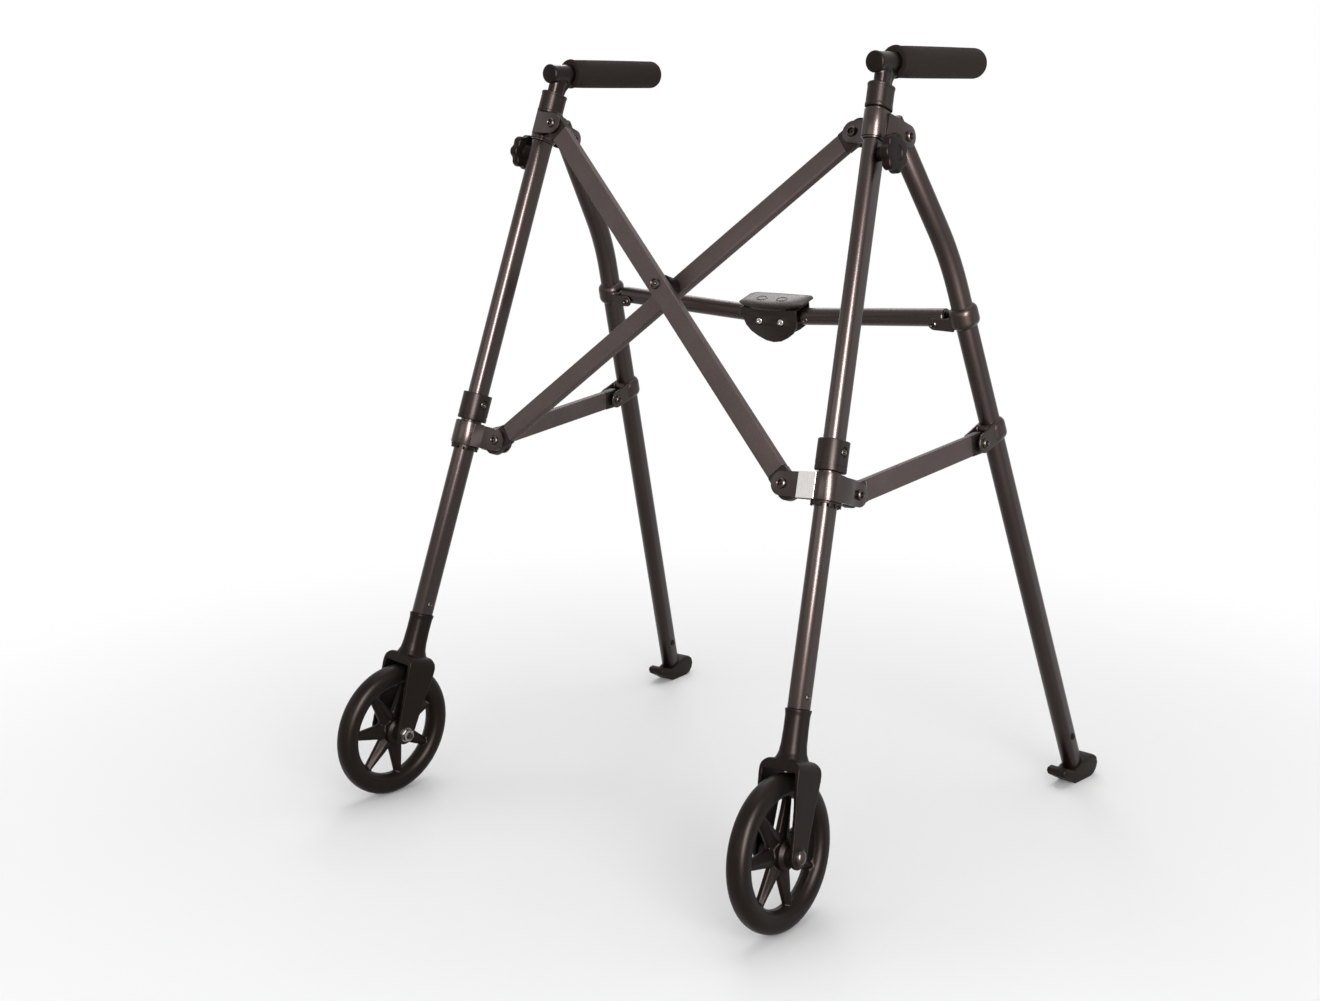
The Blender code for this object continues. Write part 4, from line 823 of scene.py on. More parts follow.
def climb(steps):
    """Extrudes the chosen face along z in steps of (rise, width factor, depth factor)."""
    for rise, wide, deep in steps:
        bpy.ops.mesh.extrude_region_move(TRANSFORM_OT_translate={"value": (0.0, 0.0, rise)})
        bpy.ops.transform.resize(value=(wide, deep, 1.0), center_override=(0.0, 0.0, 0.0))


flank = [(ARM_END_R * math.cos(turn), AXLE_C + ARM_END_R * math.sin(turn))
         for turn in (math.pi * (1 + step / 10) for step in range(11))]
right_edge = [(0.0136, AXLE_C + 0.018), (0.0162, AXLE_C + 0.045), (0.0184, SHOULDER_C - 0.030),
              (CROWN_D / 2 - 0.0008, SHOULDER_C - 0.021), (CROWN_D / 2, SHOULDER_C - 0.013),
              (CROWN_D / 2 - 0.0006, SHOULDER_C - 0.004), (CROWN_D / 2 - 0.0035, SHOULDER_C + 0.004)]
flank += right_edge + [(-y, z) for y, z in reversed(right_edge)]
merge(fork, put(slab(flank, -0.05, 0.10), ACROSS), "INTERSECT")
neck = bar(NECK_W, NECK_D, LEG_LOW - FIT - 0.0016, LEG_LOW - FIT, NECK_W / 2)
choose("FACE", lambda middle, normal: normal.z < -SQUARE)
climb([(-0.004, 0.93, 0.95), (-0.014, 1.0, 1.0), (-0.014, 1.05, 1.03), (-0.008, 1.10, 1.06),
       (-0.005, 1.18, 1.12), (-0.006, 1.16, 1.10)])
close(neck)
merge(fork, neck)
less = 2 * (WALL + FIT)
merge(fork, oval(LEG_W - less, LEG_D - less, LEG_LOW - OVERRUN, LEG_LOW + 0.012))
axle_place = facing(LEG @ Vector((0.0, 0.0, AXLE_C)), LEG_OUT, LEG_UP)
axle_in_leg = LEG.inverted() @ axle_place
for outer in (-1.0, 1.0):
    boss = turned([(0.0, -0.0006), (BOSS_R, -0.0006), (BOSS_R - 0.0006, BOSS_H), (0.0, BOSS_H)])
    lay = Matrix.Translation((0.0, 0.0, outer * arm))
    if outer < 0.0:
        lay = lay @ Matrix.Rotation(math.pi, 4, "X")
    merge(fork, put(boss, axle_in_leg @ lay))
cast(fork, 0.0007, 7, 0.30)
pair(fork, "{}_fork", LEG, "{}_leg", deep_plastic, ["{}_wheel_fork"], angle=CAST_ANGLE)

seat = arm + AXLE_SEAT
bolt = turned([(0.0, seat + 0.0040), (0.0036, seat + 0.0038), (0.0058, seat + 0.0029),
               (0.0070, seat + 0.0013), (0.0072, seat), (AXLE_R, seat), (AXLE_R, -seat - 0.0046),
               (AXLE_R - 0.0008, -seat - 0.0080), (0.0, -seat - 0.0084)], 30)
pair(bolt, "{}_axle", axle_place, "{}_leg", dark_steel, ["{}_axle_bolt"])
nut = begin("cylinder", vertices=6, radius=NUT_R, depth=NUT_H)
bpy.ops.transform.translate(value=(0.0, 0.0, -seat - NUT_H / 2 - WASHER_T))
nut = soften(close(nut), 0.0005, 2)
merge(nut, turned([(0.0, -seat), (WASHER_R, -seat), (WASHER_R, -seat - WASHER_T),
                   (0.0, -seat - WASHER_T)], 30))
cut(nut, turned([(0.0, 0.0), (AXLE_R, 0.0), (AXLE_R, -0.05), (0.0, -0.05)], 24))
pair(nut, "{}_axle_nut", axle_place, "{}_leg", grey_steel)

hub_half = FORK_GAP / 2 - HUB_GAP


def ring_turned(profile, steps=32):
    """Turns a closed profile that stays off the axis."""
    return turned(profile + profile[:1], steps)


hub_side = [(AXLE_R + FIT, -hub_half), (0.0095, -hub_half), (0.0105, -hub_half + 0.001),
            (0.0112, -hub_half + 0.006), (HUB_R, -hub_half + 0.009)]
rim = ring_turned(hub_side + [(radius, -height) for radius, height in reversed(hub_side)], 36)
for spoke in range(SPOKES):
    blade = slab(SPOKE_SECTION, HUB_R - 0.006, WINDOW_R - HUB_R + 0.009)
    bpy.ops.object.mode_set(mode="EDIT")
    choose("FACE", lambda middle, normal: normal.z > SQUARE)
    bpy.ops.transform.resize(value=SPOKE_TAPER)
    close(blade)
    lay = Matrix.Rotation(math.tau * spoke / SPOKES, 4, "Z") @ Matrix.Rotation(math.pi / 2, 4, "Y")
    merge(rim, put(blade, lay))
TYRE_MID = (WHEEL_R + WINDOW_R) / 2
TYRE_BULGE = 2 / 2.35
TYRE_EDGE = math.asin((RIM_R - TYRE_MID) / (WHEEL_R - TYRE_MID))
RIM_END = -1.22


def tyre_round(start, end, steps):
    """Points of the wheel's round outline between two turns about the middle of its section."""
    points = []
    for step in range(steps + 1):
        turn = start + (end - start) * step / steps
        out, side_on = math.sin(turn), math.cos(turn)
        points.append((TYRE_MID + (WHEEL_R - TYRE_MID) * math.copysign(abs(out) ** TYRE_BULGE, out),
                       TYRE_W / 2 * math.copysign(abs(side_on) ** TYRE_BULGE, side_on)))
    return points


rim_edge = tyre_round(TYRE_EDGE + 0.02, RIM_END, 7)
rim_side = [(RIM_R + 0.0002, rim_edge[0][1])] + rim_edge + [(WINDOW_R - 0.0006, rim_edge[-1][1] - 0.0014)]
band = ring_turned(rim_side + [(radius, -height) for radius, height in reversed(rim_side)], 72)
merge(rim, band)
cast(rim, 0.0008, 4, 0.30)
pair(rim, "{}_spoked_rim", axle_place, "{}_wheel", deep_plastic, ["{}_wheel_rim"],
     angle=CAST_ANGLE)


def rubber_finish():
    """Solid tyre rubber: satin, with a dusty running band and fine scuffs."""
    made, wire, shader, spot = new_finish("tyre_rubber", IOR=1.5, Specular_IOR_Level=0.11,
                                          Specular_Tint=WARM)
    cloud = noise(wire, spot, 30.0, 4.0, 0.6)
    scuff = above(wire, noise(wire, spot, 420.0, 4.0, 0.7), 0.56, 0.74)
    blend(wire, above(wire, cloud, 0.35, 0.75) * 0.7 + scuff * 0.3, (0.0062, 0.0042, 0.0034),
          (0.0100, 0.0073, 0.0060)).feed(shader, "Base Color")
    (0.33 + cloud * 0.10 + scuff * 0.10).feed(shader, "Roughness")
    bumped(wire, scuff * 0.5 + noise(wire, spot, 700.0, 3.0), 0.12, 0.0003).feed(shader, "Normal")
    return made


rubber = rubber_finish()
profile = tyre_round(TYRE_EDGE, math.pi - TYRE_EDGE, 24)
pair(ring_turned(profile, 96), "{}_solid_tyre", axle_place, "{}_wheel", rubber, ["{}_tyre"],
     angle=CUT_ANGLE)


# Sliding collars: pressed sheet metal round each leg, bent out into ears for the brace and the strut.
# The slanted front of one brace ear carries a pale brushed strap, its light colour a painted highlight
# of the key lamp's reflection there; a notched black lip shows below, and both pivots are dark recessed
# bolts.
COLLAR_W = 0.027
COLLAR_D = 0.037
COLLAR_H = 0.026
COLLAR_C = 0.42872
COLLAR_WALL = 0.0013
COLLAR_EYE_IN = 0.0437
STRUT_EYE_BACK = 0.0410
BAR_LOW = 0.008
LIP_H = 0.0056
LIP_OUT = 0.0002
LIP_NOTCH = 0.004
NOTCH_DEEP = 0.0034
NOTCH_CUT_X = 0.06
NOTCH_CUT_Y = 0.08
SIDE_NOTCHES = (-0.0125, -0.0042, 0.0042, 0.0125)
END_NOTCH = 0.0034
END_NOTCHES = (-0.0062, 0.0062)
SPARE = 0.002
FOLD_X = -0.0250
FLAT_X = -0.0244
COLLAR_END_R = EYE_R + 0.0006

# Collar paint is the tube paint made a little lighter and glossier; the lighter colour is partly painted
# highlight, after the collar's bright slanted facet.
collar_paint = metallic_paint("collar_paint", (0.029, 0.0200, 0.0178), (0.050, 0.0365, 0.0332), 0.28, 0.24)
def brushed_highlight_finish():
    """Pale metal brushed along the leg: real metallic gloss, with a light colour that paints in the facet's
    bright reflection of the key lamp.
    """
    made, wire, shader, spot = new_finish("brushed_steel_painted_highlight", Metallic=1.0)
    long_spot = wire.node("Mapping", {}, {"Vector": spot, "Scale": (900.0, 900.0, 25.0)})
    line = noise(wire, long_spot, 1.0, 3.0, 0.6)
    blend(wire, line, (0.42, 0.405, 0.396), (0.58, 0.56, 0.548)).feed(shader, "Base Color")
    (0.42 + line * 0.14).feed(shader, "Roughness")
    bumped(wire, line, 0.08, 0.0002).feed(shader, "Normal")
    return made


brushed_highlight_steel = brushed_highlight_finish()
low = COLLAR_C - COLLAR_H / 2
high = COLLAR_C + COLLAR_H / 2
half_gap = TONGUE_T / 2 + HINGE_GAP
ear_out = half_gap + EAR_T
skirt_w = COLLAR_W - 2 * COLLAR_WALL
skirt_d = COLLAR_D - 2 * COLLAR_WALL


def pressed_ear(plan, eye_x):
    """Sheet of a plan outline, with its far end rounded about the eye."""
    sheet = soften(slab(plan, low + 0.0002, COLLAR_H - 0.0004), 0.0003, 1, 20.0)
    shape = ear(abs(eye_x) + 0.02, COLLAR_END_R, COLLAR_H / 2, 0.12, 0.0002)
    stand = Matrix(((1, 0, 0, eye_x), (0, 0, -1, 0), (0, 1, 0, COLLAR_C), (0, 0, 0, 1)))
    return merge(sheet, put(shape, stand), "INTERSECT")


for side, facing_y in (("left", -1.0), ("right", 1.0)):
    collar = oval(COLLAR_W, COLLAR_D, low, high)
    brace_eye = facing(Vector((-COLLAR_EYE_IN, facing_y * BAR_LOW, COLLAR_C)), Y, X)
    far = -COLLAR_EYE_IN - EYE_R - SPARE
    outer = BAR_LOW + ear_out
    inner = BAR_LOW + half_gap
    bent = [(far, outer), (FOLD_X, outer), (-0.0020, COLLAR_D / 2 - 0.0002), (-0.0020, inner - 0.0010),
            (FOLD_X, inner), (far, inner)]
    straight = [(far, BAR_LOW - half_gap), (FLAT_X, BAR_LOW - half_gap), (-0.0100, -0.0030),
                (-0.0100, -0.0068), (-0.0129, -0.0068), (FLAT_X, BAR_LOW - ear_out),
                (far, BAR_LOW - ear_out)]
    for plan in (bent, straight):
        merge(collar, pressed_ear([(x, facing_y * y) for x, y in plan], -COLLAR_EYE_IN))
    # Pale strap over the slanted front of the bent ear: its light colour is a painted highlight, the key
    # lamp's reflection on that facet.
    strap = [(FOLD_X, outer + 0.0002), (-0.0036, COLLAR_D / 2 - 0.0001), (-0.0036, outer - 0.001),
             (FOLD_X, outer - 0.001)]
    strap = soften(slab([(x, facing_y * y) for x, y in strap], low + 0.0001, COLLAR_H - 0.0002), 0.0002, 1)
    pair(strap, "{}_collar_strap", LEG, "{}_collar", brushed_highlight_steel, (), (side,))
    strut_eye = side_eye(STRUT_EYE_BACK, COLLAR_C)
    far = -STRUT_EYE_BACK - EYE_R - SPARE
    lay = TO_SIDE @ Matrix(((0, 1, 0, 0), (-1, 0, 0, 0), (0, 0, 1, 0), (0, 0, 0, 1)))
    skin = COLLAR_W / 2 - 0.0002
    core = COLLAR_W / 2 - 0.003
    plan = [(far, half_gap), (far, ear_out), (-0.0285, ear_out), (-0.0250, skin), (-0.002, skin),
            (-0.002, core), (-0.0240, core), (-0.0270, half_gap)]
    for across in (-1.0, 1.0):
        merge(collar, put(pressed_ear([(x, across * y) for x, y in plan], -STRUT_EYE_BACK), lay))
    cut(collar, oval(skirt_w, skirt_d, low - OVERRUN, high + OVERRUN))
    soften(collar, 0.0004, 2, CUT_ANGLE)
    pair(collar, "{}_collar_plates", LEG, "{}_collar", collar_paint, ["{}_slide_collar"],
         (side,))
    pair(joint_bolt(ear_out + FIT), "{}_collar_brace_pivot", LEG @ brace_eye, "{}_collar",
         dark_steel, ["{}_brace_low_bolt"], (side,))
    pair(joint_bolt(ear_out + FIT), "{}_collar_strut_pivot", LEG @ strut_eye, "{}_collar",
         dark_steel, ["{}_strut_bolt"], (side,))

lip_top = low - FIT
lip_low = lip_top - LIP_H
liner = oval(skirt_w - 2 * FIT, skirt_d - 2 * FIT, lip_top - 0.001, high + 0.0006)
merge(liner, soften(oval(skirt_w + 2 * LIP_OUT, skirt_d + 2 * LIP_OUT, lip_low, lip_top), 0.0006, 2))
cut(liner, close(bar(LEG_W + 0.0052, LEG_D + 0.0008, lip_top - 0.02, high + OVERRUN, 0.0088, 8)))
across = [(NOTCH_CUT_X, LIP_NOTCH, 0.0, y) for y in SIDE_NOTCHES]
for wide, deep, x, y in across + [(END_NOTCH, NOTCH_CUT_Y, x, 0.0) for x in END_NOTCHES]:
    notch = close(bar(wide, deep, lip_low - OVERRUN, lip_low + NOTCH_DEEP, 0.0005, 2))
    cut(liner, shift(notch, x, y, 0.0))
soften(liner, 0.0002, 1, CUT_ANGLE)
pair(liner, "{}_liner", LEG, "{}_collar", black_plastic, ["{}_collar_liner"])


# Cross brace: two flat box tubes that cross on a dark rivet with a black spacer disc between them.
# Each runs from the top bracket of one leg to the collar of the other, on black plug ends.
BAR_W = 0.022
BAR_T = 0.010
BAR_WALL = 0.0013
BAR_CORNER = 0.0025
BAR_END = 0.016
PLUG_DEPTH = 0.018
BRACE_HEAD_R = 0.006
BRACE_HEAD_H = 0.0026
RIVET_R = 0.0035
SPACER_R = 0.0125
SPACER_BORE = 0.0038
HEEL = 0.0176


def bar_finish():
    """Duller baked paint of the flat bars, with fine speckles and rubbed long marks."""
    made, wire, shader, spot = new_finish("bar_paint", Metallic=0.95, Coat_Roughness=0.3)
    speck = above(wire, noise(wire, spot, 1900.0, 2.0, 0.6), 0.42, 0.66)
    cloud = noise(wire, spot, 16.0, 4.0, 0.6)
    blend(wire, speck * 0.7 + above(wire, cloud, 0.35, 0.7) * 0.3, (0.054, 0.0405, 0.0380),
          (0.082, 0.0630, 0.0595)).feed(shader, "Base Color")
    (0.42 + cloud * 0.12).feed(shader, "Roughness")
    (0.05 - speck * 0.04).feed(shader, "Coat Weight")
    bumped(wire, noise(wire, spot, 900.0, 3.0), 0.12, 0.0003).feed(shader, "Normal")
    return made


bar_paint = bar_finish()


def flat_link(label, start, end, across, body, node, sides, far_heel=HEEL):
    """Box tube between two pins with an eyed black plug in each end, which reaches past its pin."""
    along = (end - start).normalized()
    y = (across - across.dot(along) * along).normalized()
    place = axes(start, y.cross(along), y, along)
    length = (end - start).length
    link = soften(tube(BAR_W, BAR_T, BAR_END, length - BAR_END, BAR_CORNER, BAR_WALL, 5), 0.0002, 1)
    pair(link, label + "_tube", place, body, bar_paint, [node], sides)
    far = axes(end, -place.col[0].xyz, y, -along)
    for name, lay, heel in (("upper", place, HEEL), ("lower", far, far_heel)):
        eye = lay @ Matrix(((0, 1, 0, 0), (0, 0, 1, 0), (1, 0, 0, 0), (0, 0, 0, 1)))
        past = heel - EYE_R
        plug = ear(BAR_END - FIT + past, EYE_R, BAR_W / 2, TONGUE_T, 0.0009)
        shift(plug, -past, 0.0, 0.0)
        inner = close(bar(PLUG_DEPTH, BAR_W - 2 * BAR_WALL - 2 * FIT, -BAR_T / 2 + BAR_WALL + FIT,
                          BAR_T / 2 - BAR_WALL - FIT, 0.0008, 2))
        merge(plug, shift(inner, BAR_END + PLUG_DEPTH / 2 - 0.002, 0.0, 0.0))
        bore_r = PIN_R + FIT
        cut(plug, turned([(0.0, -0.02), (bore_r, -0.02), (bore_r, 0.02), (0.0, 0.02)], 24))
        pair(plug, f"{label}_{name}_eye", eye, body, black_plastic,
             [f"{node}_{name}_plug"], sides)
    return place


top_left = LEG @ Vector((-BRACE_EYE_IN, REAR_BAR_TOP, BRACKET_C))
top_right = MIRROR @ LEG @ Vector((-BRACE_EYE_IN, -FRONT_BAR_TOP, BRACKET_C))
low_left = LEG @ Vector((-COLLAR_EYE_IN, -BAR_LOW, COLLAR_C))
low_right = MIRROR @ LEG @ Vector((-COLLAR_EYE_IN, BAR_LOW, COLLAR_C))
flat_link("front_bar", top_right, low_left, LEG_BACK, "front_bar", "front_brace", ("centre",))
flat_link("rear_bar", top_left, low_right, LEG_BACK, "rear_bar", "rear_brace", ("centre",))

rear_mid = top_left.lerp(low_right, top_left.x / (top_left.x - low_right.x))
front_mid = top_right.lerp(low_left, top_right.x / (top_right.x - low_left.x))
middle = front_mid.lerp(rear_mid, 0.5)
front_off = (front_mid - middle).dot(-LEG_BACK)
rear_off = -front_off
half = BAR_T / 2 + FIT
profile = [(BRACE_HEAD_R * wide, rear_off - half - BRACE_HEAD_H * high) for wide, high in (
    (0.0, 1.0), (0.62, 0.95), (0.92, 0.6), (1.0, 0.0))]
profile += [(RIVET_R, rear_off - half), (RIVET_R, front_off + half)]
profile += [(BRACE_HEAD_R * wide, front_off + half + BRACE_HEAD_H * high) for wide, high in (
    (1.0, 0.0), (0.96, 0.55), (0.76, 0.85), (0.62, 0.25), (0.34, 0.25), (0.22, 0.70), (0.0, 0.80))]
pivot = facing(middle, -LEG_BACK, X)
pair(turned(profile), "brace_pivot", pivot, "rear_bar", dark_steel, ["brace_rivet"],
     ("centre",))
spacer = ring_turned([(SPACER_BORE, rear_off + half), (SPACER_R, rear_off + half),
                      (SPACER_R, front_off - half), (SPACER_BORE, front_off - half)])
pair(soften(spacer, 0.0006), "brace_spacer", pivot, "rear_bar", deep_plastic, (),
     ("centre",))


# Rear legs: bent oval tubes that hang from the top brackets and end in curved black glides.
# Two forged rings are fixed on each, one for the crossbar and one for the strut, and a black screw
# in each flat holds the glide.
REAR_UPPER_RUN = 0.1466
REAR_UPPER_ANGLE = math.radians(51.2)
REAR_LOWER_ANGLE = math.radians(36.5)
REAR_BEND_R = 0.280
REAR_ABOVE_EYE = 0.015
REAR_CUT = 0.0178
RING_H = 0.0245
RING_WALL = 0.0042
RING_ROUND = 0.0072
CROSS_RING_RUN = 0.0660
CROSS_EYE_IN = 0.0314
CROSS_EYE_DROP = 0.0064
CROSS_EAR_T = 0.0026
CROSS_R = 0.0097
CROSS_EAR_R = 0.0068
CROSS_HEAD_R = 0.0042
CROSS_EAR_ROOT = 0.0075
WEB_W = 0.0062
WEB_H = 0.0130
WEB_OFF = 0.0036
WEB_RISE = -0.0004
STRUT_RING_RUN = 0.1985
STRUT_EYE_FRONT = 0.0323
STRUT_EAR_GAP = 0.0032
STRUT_EAR_R = 0.0105
GLIDE_SCREW_UP = 0.0405
GLIDE_SCREW_R = 0.0040
GLIDE_SCREW_H = 0.0010
FOOT_W = 0.0235
FOOT_ROUND = 0.0014
FOOT_SOLE = [(-0.0095, 0.0), (0.0220, 0.0), (0.0295, 0.0022), (0.0350, 0.0075), (0.0370, 0.0145),
             (0.0345, 0.0215), (0.0280, 0.0258), (0.0150, 0.0268), (-0.0130, 0.0160), (-0.0200, 0.0188),
             (-0.0285, 0.0225), (-0.0350, 0.0217), (-0.0372, 0.0180), (-0.0345, 0.0132), (-0.0270, 0.0092),
             (-0.0180, 0.0045)]

REAR_EYE = SIDE @ Vector((0.0, REAR_EYE_BACK, BRACKET_C))
UPPER_RUN = math.sin(REAR_UPPER_ANGLE) * SIDE_BACK - math.cos(REAR_UPPER_ANGLE) * LEG_UP
LOWER_RUN = math.sin(REAR_LOWER_ANGLE) * SIDE_BACK - math.cos(REAR_LOWER_ANGLE) * LEG_UP
LOWER_FRONT = -math.cos(REAR_LOWER_ANGLE) * SIDE_BACK - math.sin(REAR_LOWER_ANGLE) * LEG_UP
CORNER = REAR_EYE + REAR_UPPER_RUN * UPPER_RUN
LOWER_LENGTH = (REAR_CUT - CORNER.z) / LOWER_RUN.z
REAR_END = CORNER + LOWER_LENGTH * LOWER_RUN
UPPER = axes(REAR_EYE, SIDE_OUT, (-UPPER_RUN).cross(SIDE_OUT), -UPPER_RUN)


def on_lower(run):
    """Place on the lower run of the rear leg, z up along it."""
    return axes(CORNER + run * LOWER_RUN, SIDE_OUT, (-LOWER_RUN).cross(SIDE_OUT), -LOWER_RUN)


bend = REAR_UPPER_ANGLE - REAR_LOWER_ANGLE
tangent = REAR_BEND_R * math.tan(bend / 2)
rear_tube = bar(REAR_W, REAR_D, tangent - REAR_UPPER_RUN, REAR_ABOVE_EYE, REAR_W / 2)
choose("FACE", lambda middle, normal: normal.z < -SQUARE)
bpy.ops.mesh.spin(steps=10, angle=bend, center=(0.0, -REAR_BEND_R, tangent - REAR_UPPER_RUN), axis=X)
down = Vector((0.0, -math.sin(bend), -math.cos(bend)))
bpy.ops.mesh.extrude_region_move(TRANSFORM_OT_translate={"value": (LOWER_LENGTH - tangent) * down})
weld(0.00001)
rear_paint = metallic_paint("rear_tube_paint", (0.023, 0.0154, 0.0134), (0.036, 0.0252, 0.0224), 0.40, 0.22)
pair(soften(close(rear_tube), 0.0004), "{}_bent_tube", UPPER, "{}_rear_leg", rear_paint,
     ["{}_rear_leg"])
top_plug = soften(oval(REAR_W, REAR_D, REAR_ABOVE_EYE + 0.0002, REAR_ABOVE_EYE + 0.0034), 0.0012, 3)
pair(top_plug, "{}_rear_top_plug", UPPER, "{}_rear_leg", black_plastic)


def forged_ring():
    """Barrel-shaped ring round the tube."""
    width = REAR_W + 2 * RING_WALL
    depth = REAR_D + 2 * RING_WALL
    return soften(oval(width, depth, -RING_H / 2, RING_H / 2), RING_ROUND, 6)


def bored_ring(ring):
    """Melts the ring and its ears together, and bores it to the tube."""
    cast(ring, 0.0006, 7, 0.40)
    return cut(ring, oval(REAR_W + FIT, REAR_D + FIT, -3 * OVERRUN, 3 * OVERRUN))


cross_ring_place = on_lower(CROSS_RING_RUN)
CROSS_BACK = LOWER_RUN.cross(X).normalized()
if CROSS_BACK.y < 0.0:
    CROSS_BACK = -CROSS_BACK
CROSS_UP = X.cross(CROSS_BACK)
CROSS_EYE = cross_ring_place.translation - CROSS_EYE_IN * X - CROSS_EYE_DROP * CROSS_UP
cross_eye = facing(CROSS_EYE, CROSS_BACK, X)
cross_gap = CROSS_R + HINGE_GAP
ring = forged_ring()
for across in (-1.0, 1.0):
    plate = ear(CROSS_EYE_IN - REAR_W / 2 + EAR_LAP, CROSS_EAR_R, CROSS_EAR_ROOT, CROSS_EAR_T)
    lay = cross_eye @ Matrix.Translation((0.0, 0.0, across * (cross_gap + CROSS_EAR_T / 2)))
    merge(ring, put(plate, cross_ring_place.inverted() @ lay))
web = close(bar(WEB_W, WEB_H, -cross_gap - CROSS_EAR_T, cross_gap + CROSS_EAR_T, 0.001, 2))
lay = cross_eye @ Matrix.Translation((CROSS_EYE_IN - REAR_W / 2 - WEB_OFF, WEB_RISE, 0.0))
merge(ring, put(web, cross_ring_place.inverted() @ lay))
pair(bored_ring(ring), "{}_crossbar_bracket", cross_ring_place, "{}_rear_leg", rear_paint,
     ["{}_crossbar_ring"], angle=CAST_ANGLE)
pair(joint_bolt(cross_gap + CROSS_EAR_T - 0.0010, CROSS_HEAD_R), "{}_crossbar_pivot", cross_eye,
     "{}_rear_leg", dark_steel)

strut_ring_place = on_lower(STRUT_RING_RUN)
STRUT_FAR = strut_ring_place.translation + STRUT_EYE_FRONT * LOWER_FRONT
strut_eye = facing(STRUT_FAR, SIDE_OUT, -LOWER_FRONT)
ear_gap = TONGUE_T / 2 + STRUT_EAR_GAP
ring = forged_ring()
clevis(ring, strut_ring_place.inverted() @ strut_eye, ear_gap, STRUT_EYE_FRONT - REAR_D / 2 + 0.010,
       STRUT_EAR_R, RING_H / 2 - 0.001)
pair(bored_ring(ring), "{}_strut_bracket", strut_ring_place, "{}_rear_leg", rear_paint,
     ["{}_strut_ring"], angle=CAST_ANGLE)
pair(joint_bolt(ear_gap + EAR_T), "{}_strut_pivot", strut_eye, "{}_rear_leg", dark_steel)

back = Vector((SIDE_BACK.x, SIDE_BACK.y, 0.0)).normalized()
ground = axes(Vector((REAR_END.x, REAR_END.y, 0.0)), back, Z, back.cross(Z))
foot = soften(slab(FOOT_SOLE, -FOOT_W / 2, FOOT_W), FOOT_ROUND, 3, 40.0)
socket = oval(REAR_W + 2 * FIT, REAR_D + 2 * FIT, 0.0, 0.05)
cut(foot, put(socket, ground.inverted() @ on_lower(LOWER_LENGTH)))
pair(foot, "{}_glide", ground, "{}_rear_leg", dull_plastic, ["{}_rear_foot"], angle=26.0)
for label, flank in FLANKS:
    screw_seat = on_lower(LOWER_LENGTH - GLIDE_SCREW_UP) @ Vector((flank * REAR_W / 2, 0.0, 0.0))
    screw_place = facing(screw_seat, flank * SIDE_OUT, LOWER_RUN)
    pair(socket_head(GLIDE_SCREW_R, GLIDE_SCREW_H), "{}_glide_screw_" + label, screw_place, "{}_rear_leg",
         deep_plastic)


# Side struts: flat box tubes from each collar to the strut bracket on the rear leg, in the same paint
# as the brace and on the same black plug ends.
STRUT_HEEL = 0.0142
STRUT_NEAR = SIDE @ Vector((0.0, STRUT_EYE_BACK, COLLAR_C))
flat_link("{}_strut", STRUT_NEAR, STRUT_FAR, SIDE_OUT, "{}_strut", "{}_strut", ("left", "right"),
          STRUT_HEEL)


# Rear crossbar: two round tubes that fold upwards in the middle, each on a black end piece.
# A small dark screw holds the plug in the inner end of each tube.
CROSS_LIFT = 0.0030
CROSS_SAG = 0.0122
CROSS_OUTER_END = -0.0095
CROSS_EDGE = 0.0004
CROSS_WALL = 0.0014
CROSS_SCREW_R = 0.0034
CROSS_SCREW_H = 0.0010
TONGUE = (0.0118, 0.0064)
BLOCK_PIN = 0.015
TUBE_INNER_X = 0.0408
CROSS_SCREW_X = 0.0465

block_eye = CROSS_EYE - CROSS_SAG * CROSS_UP
BLOCK_EYE = Vector((BLOCK_PIN, block_eye.y, block_eye.z))
along = (BLOCK_EYE - CROSS_EYE).normalized()
CROSS = axes(CROSS_EYE, CROSS_BACK.cross(along), CROSS_BACK, along)
length = (BLOCK_EYE - CROSS_EYE).length
inner_end = length - (TUBE_INNER_X - BLOCK_PIN) / abs(along.x)
half_tube = turned([(0.0, CROSS_OUTER_END), (CROSS_R - CROSS_EDGE, CROSS_OUTER_END),
                    (CROSS_R, CROSS_OUTER_END + CROSS_EDGE), (CROSS_R, inner_end - CROSS_EDGE),
                    (CROSS_R - CROSS_EDGE, inner_end), (CROSS_R - CROSS_WALL, inner_end),
                    (CROSS_R - CROSS_WALL, inner_end - 0.0012), (0.0, inner_end - 0.0012)], 48)
shift(half_tube, CROSS_LIFT, 0.0, 0.0)
cross_paint = metallic_paint("crossbar_paint", (0.026, 0.0176, 0.0154), (0.042, 0.0296, 0.0266), 0.36, 0.26,
                             (12.0, 200.0, 200.0))
pair(half_tube, "{}_crossbar_tube", CROSS, "{}_crossbar", cross_paint,
     ["{}_crossbar_half"])

end_plug = turned([(0.0, CROSS_OUTER_END - 0.0022), (CROSS_R - 0.0040, CROSS_OUTER_END - 0.0020),
                   (CROSS_R - 0.0016, CROSS_OUTER_END - 0.0010),
                   (CROSS_R - 0.0010, CROSS_OUTER_END + 0.0006), (0.0, CROSS_OUTER_END + 0.0006)], 40)
shift(end_plug, CROSS_LIFT, 0.0, 0.0)
pair(end_plug, "{}_crossbar_end", CROSS, "{}_crossbar", cross_paint)

